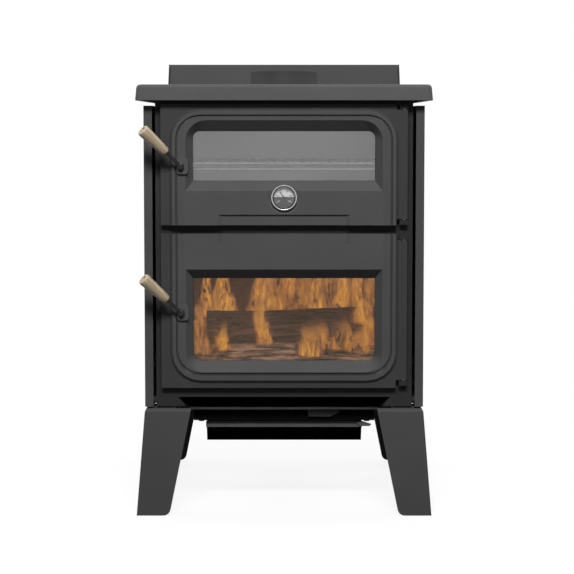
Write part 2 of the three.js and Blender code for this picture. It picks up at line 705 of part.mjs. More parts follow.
// Side panels: shallow pans, open towards the body, each stood off it by four spacers.
const panelY = [-PANEL_FRONT_OUTSET, BODY_DEPTH];
const panelZ = [bodyBottom - PANEL_FOOT_DROP, skirtBottom - PANEL_TOP_DROP];
for (const [name, side] of [['left_side_panel', -1], ['right_side_panel', 1]]) {
  const pan = cut(
    block([side * panelInner, side * panelOuter], panelY, panelZ),
    block(
      [side * (panelInner - 1), side * (panelOuter - SHEET)],
      [panelY[0] + SHEET, panelY[1] - SHEET],
      [panelZ[0] + SHEET, panelZ[1] - SHEET],
    ),
  );
  const inwards = ([low, high], inset) => [low + inset, high - inset];
  const spacerHeights = inwards(panelZ, PANEL_SPACER_END_INSET);
  const spacers = inwards(panelY, PANEL_SPACER_INSET).flatMap((y) => spacerHeights.map(
    (z) => bar('x', [side * (bodyHalf + GAP), side * (panelOuter - 1)], [y, z], SPACER_RADIUS, 12),
  ));
  piece(name, join(pan, ...spacers), BLACK_STEEL);
}

// Legs: two tapered plates in an L that splay outwards, with a bolted flange at the top.
function leg(side, end, inward) {
  const place = (z) => {
    const toFoot = 1 - z / LEG_HEIGHT;
    return {
      z,
      outerX: side * (legOuterX + LEG_SPLAY * toFoot),
      outerY: end - inward * LEG_SPLAY * toFoot,
      width: LEG_TOP_WIDTH + (LEG_FOOT_WIDTH - LEG_TOP_WIDTH) * toFoot,
    };
  };
  const ends = [place(0), place(LEG_HEIGHT)];
  const plate = (alongX, alongY) => loft(ends.map(({ z, outerX, outerY, width }) => {
    const x = outerX - side * (alongX ? width : LEG_THICKNESS);
    const y = outerY + inward * (alongY ? width : LEG_THICKNESS);
    return onZ(outline([[outerX, outerY], [x, outerY], [x, y], [outerX, y]]), z);
  }));
  const [foot, top] = ends;
  const silhouette = (outer, towardsMiddle, axis) => prism(outline([
    [top[outer], LEG_HEIGHT, LEG_TOP_RADIUS],
    [top[outer] + towardsMiddle * top.width, LEG_HEIGHT],
    [foot[outer] + towardsMiddle * foot.width, 0, LEG_FOOT_RADIUS],
    [foot[outer], 0],
  ]), axis, [-2 * BODY_DEPTH, 2 * BODY_DEPTH]);
  const plates = join(plate(true, false), plate(false, true))
    .intersect(silhouette('outerX', -side, 'y'))
    .intersect(silhouette('outerY', inward, 'x'));
  const flangeX = [top.outerX - side * (LEG_THICKNESS - 3), top.outerX - side * LEG_FLANGE_WIDTH];
  const flangeY = [top.outerY + inward * (LEG_THICKNESS - 3), top.outerY + inward * LEG_FLANGE_WIDTH];
  const flange = block(flangeX, flangeY, [LEG_HEIGHT - LEG_FLANGE, LEG_HEIGHT]);
  const padX = [side * (bodyHalf - 6), flangeX[1]];
  const padY = [flangeY[0] + inward * 10, flangeY[1]];
  const pad = block(padX, padY, [LEG_HEIGHT - 1, bodyBottom - GAP]);
  const holes = boltHoles(legBoltPlaces, [LEG_HEIGHT - LEG_FLANGE - 1, bodyBottom]);
  return cut(join(plates, flange, pad), ...holes);
}
// Each leg hangs on one bolt through its flange into the bottom plate.
const legs = [
  ['front_left', -1, legOuterY.front, 1],
  ['rear_left', -1, legOuterY.rear, -1],
  ['front_right', 1, legOuterY.front, 1],
  ['rear_right', 1, legOuterY.rear, -1],
];
legs.forEach(([corner, side, end, inward], index) => {
  const place = legBoltPlaces[index];
  const seat = LEG_HEIGHT - LEG_FLANGE;
  piece(`leg_${corner}`, leg(side, end, inward), CAST_IRON);
  piece(`leg_bolt_${corner}`, join(
    bar('z', [seat - BOLT_HEAD - GAP, seat - GAP], place, BOLT_HEAD_RADIUS, 6),
    bar('z', [seat - BOLT_HEAD, bodyBottom + BOTTOM_PLATE - 0.5], place, BOLT_RADIUS, 12),
  ), DARK_STEEL);
});

// ---------------------------------------------------------------- hinges

// Each pin stands in its lug and reaches into the door beside it.
const pinBetween = (from, to) => bar('z', [from, to], [hingeX, hingeY], PIN_RADIUS, 16);
for (const [door, [low, high]] of [['oven', ovenLugs], ['firebox', fireLugs]]) {
  piece(`${door}_hinge_pin_lower`, pinBetween(low, low + LUG_HEIGHT + PIN_DEPTH), BRIGHT_STEEL);
  piece(`${door}_hinge_pin_upper`, pinBetween(high - PIN_DEPTH, high + LUG_HEIGHT), BRIGHT_STEEL);
}

// ---------------------------------------------------------------- doors

const panelX = (inset) => [-doorHalf + RAMP_SIDE_INSET + inset, doorHalf - RAMP_SIDE_INSET - inset];
const panelUp = (low, high) => [
  fireDoorZ[0] + RAMP_BOTTOM_INSET + low,
  ovenDoorZ[1] - RAMP_TOP_INSET - high,
];
const panelContour = (side, low, high) => rounded(panelX(side), panelUp(low, high), RAMP_RADIUS - side);

// The raised panel runs over both doors as one form, and each door takes its own stretch.
function raisedPanel() {
  const rampFoot = panelContour(0, 0, 0);
  const rampTop = panelContour(RAMP_WIDTH, RAMP_WIDTH, RAMP_WIDTH);
  const ridge = [RAMP_WIDTH + RIDGE_WIDTH, RAMP_WIDTH + RIDGE_BOTTOM_WIDTH, RAMP_WIDTH + RIDGE_WIDTH];
  const far = [ridge[0] + GROOVE_WIDTH, ridge[1] + GROOVE_BOTTOM_WIDTH, ridge[2] + GROOVE_WIDTH];
  const shift = (insets, amount) => insets.map((inset) => inset + amount);
  const grooveFloor = panelFront + GROOVE_DEPTH;
  const grooveOuter = loft([
    onY(panelContour(...shift(ridge, -1)), panelFront - 2),
    onY(panelContour(...shift(ridge, 1)), grooveFloor),
  ]);
  const grooveInner = loft([
    onY(panelContour(...shift(far, 1)), panelFront - 3),
    onY(panelContour(...shift(far, -1)), grooveFloor + 1),
  ]);
  const body = loft([
    onY(rampFoot, borderBack),
    onY(rampFoot, borderFront),
    onY(rampTop, panelFront),
  ]);
  return cut(body, cut(grooveOuter, grooveInner));
}
const panelForm = raisedPanel();

// The ledge sunk across the doors' split; its ends ramp up.
const ledge = loft([panelFront - 1, panelFront + LEDGE_DEPTH].map((y, deep) => {
  const half = LEDGE_HALF_LENGTH + LEDGE_END_RAMP / 5 - deep * LEDGE_END_RAMP;
  return onY(rounded([-half, half], [fireDoorZ[1] - LEDGE_HEIGHT, ovenDoorZ[0] + LEDGE_HEIGHT], 0), y);
}));

// A window's cut: a bevel from the door's face down to the glass, and straight on.
function windowCut(glassZ, bevelLow, bevelHigh, radiiOuter, radiiInner) {
  const half = WINDOW_WIDTH / 2;
  const outer = rounded(
    [-half - WINDOW_SIDE_BEVEL, half + WINDOW_SIDE_BEVEL],
    [glassZ[0] - bevelLow, glassZ[1] + bevelHigh],
    radiiOuter,
  );
  const inner = rounded([-half, half], glassZ, radiiInner);
  return loft([
    onY(outer, panelFront - 1),
    onY(outer, panelFront),
    onY(inner, WINDOW_RIM_BACK - 2),
    onY(inner, WINDOW_RIM_BACK + 1),
  ]);
}

const glassHalf = WINDOW_WIDTH / 2 + GLASS_OVERLAP;
const glassSpan = (glassZ) => [glassZ[0] - GLASS_OVERLAP, glassZ[1] + GLASS_OVERLAP];
const glassFront = WINDOW_RIM_BACK + GLASS_GASKET + 2 * GAP;
const glassBack = glassFront + GLASS_THICKNESS;

// Everything both doors share, from the border to the hinge bores and the latch boss.
function doorCasting(z, lugs, latchZ, glassZ, windowTool) {
  const border = block([-doorHalf, doorHalf], [borderFront, borderBack], z);
  const stretch = block([-doorHalf, doorHalf], [panelFront - 1, borderBack], z);
  const rimZ = [glassSpan(glassZ)[0] - RIM_MARGIN, glassSpan(glassZ)[1] + RIM_MARGIN];
  const rimHalf = glassHalf + RETAINER_FOOT;
  const rim = block([-rimHalf, rimHalf], [borderBack - 1, WINDOW_RIM_BACK], rimZ);
  const shaftPlace = [latchX, latchZ];
  const bossCentre = latchX + 3.5;
  const boss = prism(rounded(
    [bossCentre - BOSS_WIDTH / 2, bossCentre + BOSS_WIDTH / 2],
    [latchZ - BOSS_HEIGHT / 2, latchZ + BOSS_HEIGHT / 2],
    7,
  ), 'y', [panelFront - BOSS_RISE, borderBack]);
  const backBoss = bar('y', [borderBack - 1, camY[0] - 1.5], shaftPlace, SHAFT_RADIUS + 5);
  const notches = lugs.map((low, upper) => block(
    [hingeX - LUG_INWARD - LUG_SLOT, hingeX + LUG_OUTWARD + 1],
    [panelFront - 1, borderBack + 1],
    upper ? [low - LUG_END_CLEARANCE, z[1] + 1] : [z[0] - 1, low + LUG_HEIGHT + LUG_END_CLEARANCE],
  ));
  return cut(
    join(border, panelForm.intersect(stretch), rim, boss, backBoss),
    windowTool,
    ledge,
    bar('y', [panelFront - BOSS_RISE - 1, camY[0]], shaftPlace, SHAFT_RADIUS + GAP),
    bar('z', [lugs[0], lugs[0] + LUG_HEIGHT + PIN_DEPTH + 1], [hingeX, hingeY], PIN_RADIUS + GAP, 16),
    bar('z', [lugs[1] - PIN_DEPTH - 1, lugs[1] + LUG_HEIGHT], [hingeX, hingeY], PIN_RADIUS + GAP, 16),
    ...notches,
  );
}

// A rope or gasket: a flat ring round an opening.
const flatRing = (halfWidth, z, width, y, radius) => cut(
  prism(rounded(
    [-halfWidth - width, halfWidth + width],
    [z[0] - width, z[1] + width],
    radius + width,
  ), 'y', y),
  prism(rounded([-halfWidth, halfWidth], z, radius), 'y', [y[0] - 1, y[1] + 1]),
);

// Retainer: one pressed frame that holds the glass by its edge, its foot on the rim.
function glassRetainer(glassZ) {
  const spanZ = glassSpan(glassZ);
  const back = glassBack + GAP + RETAINER_SHEET;
  const ring = (inset, y) => block(
    [-glassHalf + inset, glassHalf - inset],
    y,
    [spanZ[0] + inset, spanZ[1] - inset],
  );
  const footY = [WINDOW_RIM_BACK + GAP, WINDOW_RIM_BACK + GAP + RETAINER_SHEET];
  return cut(
    join(ring(-RETAINER_FOOT, footY), ring(-GAP - RETAINER_SHEET, [footY[0], back])),
    ring(-GAP, [footY[0] - 1, glassBack + GAP]),
    ring(GLASS_OVERLAP - 2, [footY[0], back + 1]),
  );
}

// Latch handle: the shaft through the door, its hub and the rod that leans up to the left.
const handleDirection = new THREE.Vector3(
  -Math.cos(radians(HANDLE_TILT)) * Math.sin(radians(HANDLE_LEAN)),
  -Math.sin(radians(HANDLE_TILT)),
  Math.cos(radians(HANDLE_TILT)) * Math.cos(radians(HANDLE_LEAN)),
);
const hubY = [panelFront - BOSS_RISE - GAP - HUB_LENGTH, panelFront - BOSS_RISE - GAP];
const handleBase = (z) => new THREE.Vector3(latchX, (hubY[0] + hubY[1]) / 2, z);

const rodLength = ROD_FREE_LENGTH + ROD_IN_GRIP;
const latchHandle = (z) => join(
  bar('y', [hubY[1] - 1, camY[1]], [latchX, z], SHAFT_RADIUS),
  bar('y', hubY, [latchX, z], HUB_RADIUS),
  turned(
    [[0, 0], [ROD_RADIUS, 0], [ROD_RADIUS, rodLength], [0, rodLength]],
    handleBase(z),
    handleDirection,
    16,
  ),
);

// Wooden grip: turned, slimmer at the rod, with rounded ends and a bored free end.
const gripProfile = [
  [ROD_RADIUS + GAP, 0],
  [GRIP_ROD_END_RADIUS - 2, 0],
  [GRIP_ROD_END_RADIUS, 2.5],
  [GRIP_ROD_END_RADIUS + 1, 0.3 * GRIP_LENGTH],
  [GRIP_FREE_END_RADIUS - 0.4, 0.8 * GRIP_LENGTH],
  [GRIP_FREE_END_RADIUS, GRIP_LENGTH - 4],
  [GRIP_FREE_END_RADIUS - 1.6, GRIP_LENGTH - 0.8],
  [GRIP_FREE_END_RADIUS - 3.5, GRIP_LENGTH],
  [GRIP_BORE_RADIUS, GRIP_LENGTH],
  [GRIP_BORE_RADIUS, GRIP_LENGTH - 8],
  [ROD_RADIUS + GAP, GRIP_LENGTH - 8],
  [ROD_RADIUS + GAP, 0],
];
const latchGrip = (z) => turned(
  gripProfile,
  handleBase(z).addScaledVector(handleDirection, ROD_FREE_LENGTH),
  handleDirection,
  20,
);

// Cam: a tapered finger on the shaft's inner end that turns into the frame's pocket.
function latchCam(z) {
  const tip = [
    latchX + CAM_LENGTH * Math.cos(radians(CAM_REST_ANGLE)),
    z + CAM_LENGTH * Math.sin(radians(CAM_REST_ANGLE)),
  ];
  const across = radians(CAM_REST_ANGLE + 90);
  const beside = (centre, radius) => [
    centre[0] + radius * Math.cos(across),
    centre[1] + radius * Math.sin(across),
  ];
  const finger = prism(outline([
    beside([latchX, z], -CAM_HUB_RADIUS),
    beside(tip, -CAM_TIP_RADIUS),
    beside(tip, CAM_TIP_RADIUS),
    beside([latchX, z], CAM_HUB_RADIUS),
  ]), 'y', camY);
  return cut(
    join(
      finger,
      bar('y', camY, [latchX, z], CAM_HUB_RADIUS),
      bar('y', camY, tip, CAM_TIP_RADIUS, 16),
    ),
    bar('y', [camY[0] - 1, camY[1] + 1], [latchX, z], SHAFT_RADIUS + GAP),
  );
}

const ovenWindow = windowCut(
  ovenGlassZ,
  OVEN_BEVEL_BOTTOM,
  OVEN_BEVEL_TOP,
  [0, 0, WINDOW_OUTER_RADIUS, WINDOW_OUTER_RADIUS],
  [0, 0, WINDOW_INNER_RADIUS, WINDOW_INNER_RADIUS],
);
const fireWindow = windowCut(
  fireGlassZ,
  FIRE_BEVEL_BOTTOM,
  FIRE_BEVEL_TOP,
  [WINDOW_OUTER_RADIUS - 8, WINDOW_OUTER_RADIUS - 8, 0, 0],
  [WINDOW_INNER_RADIUS, WINDOW_INNER_RADIUS, 0, 0],
);

// Seat and bore for the thermometer in the oven door.
const gaugeZ = ovenDoorZ[0] + GAUGE_RISE;
const gaugePlace = [0, gaugeZ];
const seatFloor = panelFront + SEAT_DEPTH;
const caseFloor = borderBack - 4;
const inwards = new THREE.Vector3(0, 1, 0);
const gaugeSeat = join(
  turned(
    [[0, 0], [SEAT_RADIUS, 0], [SEAT_RADIUS, 1], [BEZEL_RADIUS + 1.5, SEAT_DEPTH + 1], [0, SEAT_DEPTH + 1]],
    new THREE.Vector3(0, panelFront - 1, gaugeZ),
    inwards,
    40,
  ),
  bar('y', [seatFloor - 1, caseFloor + GAP], gaugePlace, GAUGE_CASE_RADIUS + GAP, 40),
);

piece('oven_door', cut(
  doorCasting(ovenDoorZ, ovenLugs, ovenLatchZ, ovenGlassZ, ovenWindow),
  gaugeSeat,
), CAST_IRON);
piece('firebox_door', doorCasting(fireDoorZ, fireLugs, fireLatchZ, fireGlassZ, fireWindow), CAST_IRON);

// What is fastened to each door, named by its door.
const doorSets = [
  ['oven', ovenMouthZ, ovenGlassZ, ovenLatchZ],
  ['firebox', fireMouthZ, fireGlassZ, fireLatchZ],
];
for (const [name, mouthZ, glassZ, latchZ] of doorSets) {
  const glass = glassSpan(glassZ);
  const ropeMargin = 2 * GAP;
  piece(`${name}_door_rope`, flatRing(
    openingHalf + ropeMargin,
    [mouthZ[0] - ropeMargin, mouthZ[1] + ropeMargin],
    ROPE_WIDTH,
    [borderBack + GAP, -GAP],
    4,
  ), ROPE_FIBRE);
  piece(`${name}_glass`, block([-glassHalf, glassHalf], [glassFront, glassBack], glass), WINDOW_GLASS);
  piece(`${name}_glass_gasket`, cut(
    block(
      [-glassHalf, glassHalf],
      [WINDOW_RIM_BACK + GAP, WINDOW_RIM_BACK + GAP + GLASS_GASKET],
      glass,
    ),
    block(
      [-glassHalf + GLASS_OVERLAP - 0.5, glassHalf - GLASS_OVERLAP + 0.5],
      [WINDOW_RIM_BACK, glassFront],
      [glass[0] + GLASS_OVERLAP - 0.5, glass[1] - GLASS_OVERLAP + 0.5],
    ),
  ), ROPE_FIBRE);
  piece(`${name}_glass_retainer`, glassRetainer(glassZ), DARK_STEEL);
  piece(`${name}_latch_handle`, latchHandle(latchZ), ROD_STEEL);
  piece(`${name}_latch_grip`, latchGrip(latchZ), TURNED_WOOD);
  piece(`${name}_latch_cam`, latchCam(latchZ), DARK_STEEL);
}

// ---------------------------------------------------------------- thermometer

const bezelFront = panelFront - GAUGE_STAND;
const lensRadius = GAUGE_CASE_RADIUS;
const lensY = [bezelFront + 1.8, bezelFront + 3.2];
const caseFront = lensY[1] + GAP;
const dialBack = caseFloor - 5;
const dialY = [dialBack - 1.2, dialBack];
const needleY = [dialY[0] - 2.2, dialY[0] - 1];
const caseInner = GAUGE_CASE_RADIUS - GAUGE_CASE_WALL;

// The case and its bezel are one drawn cup; the lens snaps into a step below the rim.
piece('thermometer_case', cut(
  join(
    bar('y', [bezelFront, seatFloor - GAP], gaugePlace, BEZEL_RADIUS, 40),
    bar('y', [bezelFront, caseFloor], gaugePlace, GAUGE_CASE_RADIUS, 40),
  ),
  bar('y', [bezelFront - 1, caseFront], gaugePlace, lensRadius + GAP, 40),
  bar('y', [bezelFront, dialBack + GAP], gaugePlace, caseInner, 40),
), BRIGHT_STEEL);
piece('thermometer_lens', bar('y', lensY, gaugePlace, lensRadius, 40), WINDOW_GLASS);
piece('thermometer_dial', cut(
  bar('y', dialY, gaugePlace, caseInner - GAP, 40),
  bar('y', [dialY[0] - 1, dialY[1] + 1], gaugePlace, 1.2, 12),
), DIAL_FACE);

function needle() {
  const direction = [Math.cos(radians(NEEDLE_REST)), Math.sin(radians(NEEDLE_REST))];
  const spot = (along, aside) => [
    along * direction[0] - aside * direction[1],
    gaugeZ + along * direction[1] + aside * direction[0],
  ];
  return join(
    prism(outline([
      spot(-5, -1),
      spot(NEEDLE_LENGTH, -0.4),
      spot(NEEDLE_LENGTH, 0.4),
      spot(-5, 1),
    ]), 'y', needleY),
    bar('y', needleY, gaugePlace, 2.4, 16),
    bar('y', [needleY[0], dialBack], gaugePlace, 0.8, 8),
  );
}
piece('thermometer_needle', needle(), NEEDLE_RED);

// ---------------------------------------------------------------- oven

// Oven box: welded sheet with an angle runner along each side wall.
const ovenY = [insideFront, insideFront + OVEN_DEPTH];
const runnerTop = ovenDoorZ[1] - RUNNER_DROP - RACK_WIRE;
const ovenRunners = [-1, 1].flatMap((side) => {
  const wall = side * (openingHalf + 1);
  const runnerY = [ovenY[0] + RUNNER_END_CLEARANCE, ovenY[1] - OVEN_SHEET - RUNNER_END_CLEARANCE];
  return [
    block(
      [wall, side * (openingHalf - RUNNER_WIDTH)],
      runnerY,
      [runnerTop - RUNNER_SHEET, runnerTop],
    ),
    block(
      [wall, side * (openingHalf - RUNNER_SHEET)],
      runnerY,
      [runnerTop - RUNNER_SHEET, runnerTop + RUNNER_UPRIGHT],
    ),
  ];
});
piece('oven_box', join(
  cut(
    block(
      [-openingHalf - OVEN_SHEET, openingHalf + OVEN_SHEET],
      ovenY,
      [ovenMouthZ[0] - OVEN_SHEET, ovenMouthZ[1] + OVEN_SHEET],
    ),
    block([-openingHalf, openingHalf], [ovenY[0] - 1, ovenY[1] - OVEN_SHEET], ovenMouthZ),
  ),
  ...ovenRunners,
), OVEN_STEEL);

// Oven rack: a wire frame, bars from front to back, and a second wire under its front.
const rackZ = runnerTop + GAP + RACK_WIRE;
const rackHalf = openingHalf - RUNNER_SHEET - RACK_SIDE_CLEARANCE;
const rackY = [ovenY[0] + 2 * RACK_PLAY, ovenY[1] - OVEN_SHEET - RACK_REAR_CLEARANCE];
function ovenRack() {
  const span = rackHalf - RUNNER_WIDTH - 2 * RACK_WIRE;
  const wires = [
    ...rackY.map((y) => bar('x', [-rackHalf, rackHalf], [y, rackZ], RACK_WIRE, 8)),
    ...[-1, 1].map((side) => bar('y', rackY, [side * (rackHalf - 1), rackZ], RACK_WIRE, 8)),
    bar('x', [-span - 2, span + 2], [rackY[0], rackZ - RACK_LIP], RACK_WIRE, 8),
  ];
  for (let i = 0; i < RACK_BARS; i += 1) {
    const x = -span + (2 * span * i) / (RACK_BARS - 1);
    wires.push(bar('y', [rackY[0], rackY[1]], [x, rackZ], RACK_BAR, 6));
  }
  for (const side of [-1, 1]) {
    wires.push(bar('z', [rackZ - RACK_LIP, rackZ], [side * (span - 2), rackY[0]], RACK_BAR, 6));
  }
  return join(...wires);
}
piece('oven_rack', ovenRack(), BRIGHT_STEEL);

// ---------------------------------------------------------------- firebox

const brickFloor = bodyBottom + BOTTOM_PLATE + GAP;
const brickWallZ = [brickFloor + BRICK + GAP, brickFloor + BRICK + GAP + WALL_BRICK_HEIGHT];
const floorFront = APRON_DEPTH + 8;
const brickRear = insideRear - GAP;

for (const [name, side] of [['firebrick_left', -1], ['firebrick_right', 1]]) {
  const across = [side * (insideHalf - BRICK), side * insideHalf];
  piece(name, block(across, [floorFront, brickRear - BRICK - GAP], brickWallZ), FIRE_BRICK);
}
piece('firebrick_rear', block(
  [-insideHalf, insideHalf],
  [brickRear - BRICK, brickRear],
  brickWallZ,
), FIRE_BRICK);
piece('firebrick_floor', cut(
  block([-insideHalf, insideHalf], [floorFront, brickRear], [brickFloor, brickFloor + BRICK]),
  bar('z', [brickFloor - 1, brickFloor + BRICK + 1], [0, PLUG_BEHIND_FRAME], PLUG_RADIUS + 2, 32),
), FIRE_BRICK);

// Ash plug: a cast disc in the floor, its throat in the bottom plate, a bar to lift it by.
const plugTop = brickFloor + BRICK - 3;
piece('ash_plug', cut(
  join(
    bar('z', [brickFloor, plugTop], [0, PLUG_BEHIND_FRAME], PLUG_RADIUS, 32),
    bar('z', [bodyBottom + GAP, brickFloor + 1], [0, PLUG_BEHIND_FRAME], PLUG_THROAT_RADIUS, 32),
  ),
  ...[-1, 1].map((side) => block(
    [side * PLUG_GRIP / 2, side * (PLUG_GRIP / 2 + PLUG_RECESS[0])],
    [PLUG_BEHIND_FRAME - PLUG_RECESS[1] / 2, PLUG_BEHIND_FRAME + PLUG_RECESS[1] / 2],
    [plugTop - PLUG_RECESS[2], plugTop + 1],
  )),
), CAST_IRON);

// Air rails along the side walls carry the tubes, and the tubes carry the baffle.
const railZ = [brickWallZ[1] + 8, brickWallZ[1] + 8 + AIR_RAIL_HEIGHT];
const railY = [floorFront, brickRear - BRICK - 5];
const tubeZ = (railZ[0] + railZ[1]) / 2 - 2;
const tubeYs = Array.from({ length: TUBES }, (_, i) => BAFFLE_FRONT + TUBE_FRONT_INSET + i * TUBE_SPACING);
for (const [name, side] of [['air_rail_left', -1], ['air_rail_right', 1]]) {
  const inner = side * (insideHalf - AIR_RAIL_WIDTH);
  piece(name, cut(
    block([inner, side * insideHalf], railY, railZ),
    block(
      [inner + side * AIR_RAIL_WALL, side * (insideHalf - AIR_RAIL_WALL)],
      [railY[0] + AIR_RAIL_WALL, railY[1] + 1],
      [railZ[0] + AIR_RAIL_WALL, railZ[1] - AIR_RAIL_WALL],
    ),
    ...tubeYs.map((y) => bar(
      'x',
      [inner - side, inner + side * (AIR_RAIL_WALL + 1)],
      [y, tubeZ],
      TUBE_RADIUS + GAP,
      16,
    )),
  ), DARK_STEEL);
}
const tubeHalf = insideHalf - AIR_RAIL_WIDTH + AIR_RAIL_WALL + 8;
tubeYs.forEach((y, index) => piece(
  `air_tube_${index + 1}`,
  tube('x', [-tubeHalf, tubeHalf], [y, tubeZ], TUBE_RADIUS, TUBE_RADIUS - TUBE_WALL, 16),
  BRIGHT_STEEL,
));
piece('baffle', block(
  [-insideHalf + AIR_RAIL_WIDTH + 1, insideHalf - AIR_RAIL_WIDTH - 1],
  [BAFFLE_FRONT, brickRear],
  [tubeZ + TUBE_RADIUS + GAP, tubeZ + TUBE_RADIUS + GAP + BAFFLE],
), BAFFLE_BOARD);

// ---------------------------------------------------------------- under the body

// Air intake apron: folded sheet, a flared hood below the firebox door, open at the back.
function apron() {
  const back = APRON_DEPTH + 12;
  const ring = (width, front, z) => onZ(outline([
    [APRON_SHEET - width / 2, front],
    [width / 2 - APRON_SHEET, front],
    [width / 2 - APRON_SHEET, back],
    [APRON_SHEET - width / 2, back],
  ]), z);
  return cut(apronWedge(0, 0), loft([
    ring(APRON_FOOT_WIDTH, APRON_DEPTH + APRON_SHEET, apronFoot - 1),
    ring(APRON_TOP_WIDTH, 2 * APRON_SHEET, bodyBottom + APRON_RISE - APRON_SHEET),
  ]));
}
piece('air_intake_apron', cut(
  apron(),
  block([-bodyHalf, bodyHalf], [-1, APRON_DEPTH + 10], [apronFoot - 2, apronFoot + GAP]),
), DARK_STEEL);

const drawerTop = panBottom - DRAWER_DROP;
const drawerBottom = drawerTop - DRAWER_HEIGHT;
const drawerHalf = DRAWER_WIDTH / 2;
const drawerRear = DRAWER_FRONT + DRAWER_LENGTH;
const flangeZ = [drawerTop - 7.5, drawerTop - 5.5];

// Bottom heat shield: a pan with a front lip, the control's slot, a hole for the chute, its bolts'
// heads, and below it two rails whose feet turn out beneath the drawer's flanges.
const tabMiddle = AIR_TAB_LEFT + AIR_TAB_WIDTH / 2;
const stemX = [tabMiddle - AIR_STEM_WIDTH / 2, tabMiddle + AIR_STEM_WIDTH / 2];
const stemZ = [
  panBottom + AIR_TAB_RISE + AIR_TAB_HEIGHT / 2 - AIR_STEM_HEIGHT / 2,
  panBottom + AIR_TAB_RISE + AIR_TAB_HEIGHT / 2 + AIR_STEM_HEIGHT / 2,
];
const slotX = [stemX[0] - AIR_STEM_CLEARANCE - AIR_TRAVEL, stemX[1] + AIR_STEM_CLEARANCE];
const slotZ = [stemZ[0] - AIR_STEM_CLEARANCE, stemZ[1] + AIR_STEM_CLEARANCE];
function bottomShield() {
  const lipTop = apronFoot - GAP;
  const top = bodyBottom - GAP;
  const outer = block([-panHalf, panHalf], [panFront, panRear], [panBottom, top]);
  const hollow = block(
    [-panHalf + SHEET, panHalf - SHEET],
    [panFront + SHEET, panRear - SHEET],
    [panBottom + SHEET, top + 1],
  );
  const frontDrop = block([-panHalf - 1, panHalf + 1], [panFront - 1, panFront + 4], [lipTop, top + 1]);
  const lip = block(
    [-APRON_FOOT_WIDTH / 2, APRON_FOOT_WIDTH / 2],
    [APRON_DEPTH - 3, panFront + 4],
    [lipTop - PAN_LIP, lipTop],
  );
  const chuteHole = block(
    [-CHUTE_HALF - CHUTE_CLEARANCE, CHUTE_HALF + CHUTE_CLEARANCE],
    [chuteY[0] - CHUTE_CLEARANCE, chuteY[1] + CHUTE_CLEARANCE],
    [panBottom - 1, top + 1],
  );
  const slot = block(slotX, [panFront - 1, panFront + SHEET + 1], slotZ);
  const rails = [-1, 1].flatMap((side) => {
    const inner = side * (drawerHalf - 9.5);
    const along = [DRAWER_FRONT + DRAWER_SLOPE + 4, drawerRear - 1];
    const footZ = [flangeZ[0] - GAP - SHEET, flangeZ[0] - GAP];
    return [
      block([inner, side * (drawerHalf - 7.5)], along, [footZ[0], panBottom + 1]),
      block([inner, side * (drawerHalf - SHEET - 1)], along, footZ),
    ];
  });
  const boltYs = [panFront + PAN_BOLT_INSET, panRear - PAN_BOLT_INSET];
  const boltHeads = [-1, 1].flatMap((side) => boltYs.map((y) => bar(
    'z',
    [panBottom - BOLT_HEAD, panBottom + 1],
    [side * PAN_BOLT_HALF_SPACING, y],
    BOLT_HEAD_RADIUS,
    6,
  )));
  return cut(
    join(cut(outer, hollow, frontDrop), lip, ...rails, ...boltHeads),
    chuteHole,
    slot,
  );
}
piece('bottom_heat_shield', bottomShield(), BLACK_STEEL);

// Air control: the tab in front, its stem through the slot, the shutter under the plate.
function airControl() {
  const tabZ = [panBottom + AIR_TAB_RISE, panBottom + AIR_TAB_RISE + AIR_TAB_HEIGHT];
  const tabRight = AIR_TAB_LEFT + AIR_TAB_WIDTH;
  return join(
    prism(outline([
      [AIR_TAB_LEFT + 4, tabZ[0], 3],
      [tabRight - AIR_TAB_SLANT, tabZ[0], 3],
      [tabRight, tabZ[1] - 4, 2],
      [tabRight, tabZ[1], 1],
      [AIR_TAB_LEFT, tabZ[1], 1],
    ]), 'y', [panFront - 7, panFront - 3]),
    block(stemX, [panFront - 4, shutterY[0] + 8], stemZ),
    block(stemX, [shutterY[0] + 5, shutterY[0] + 11], [stemZ[0], shutterZ[1]]),
    block([shutterMiddle - SHUTTER_WIDTH / 2, shutterMiddle + SHUTTER_WIDTH / 2], shutterY, shutterZ),
  );
}
piece('air_control', airControl(), ROD_STEEL);

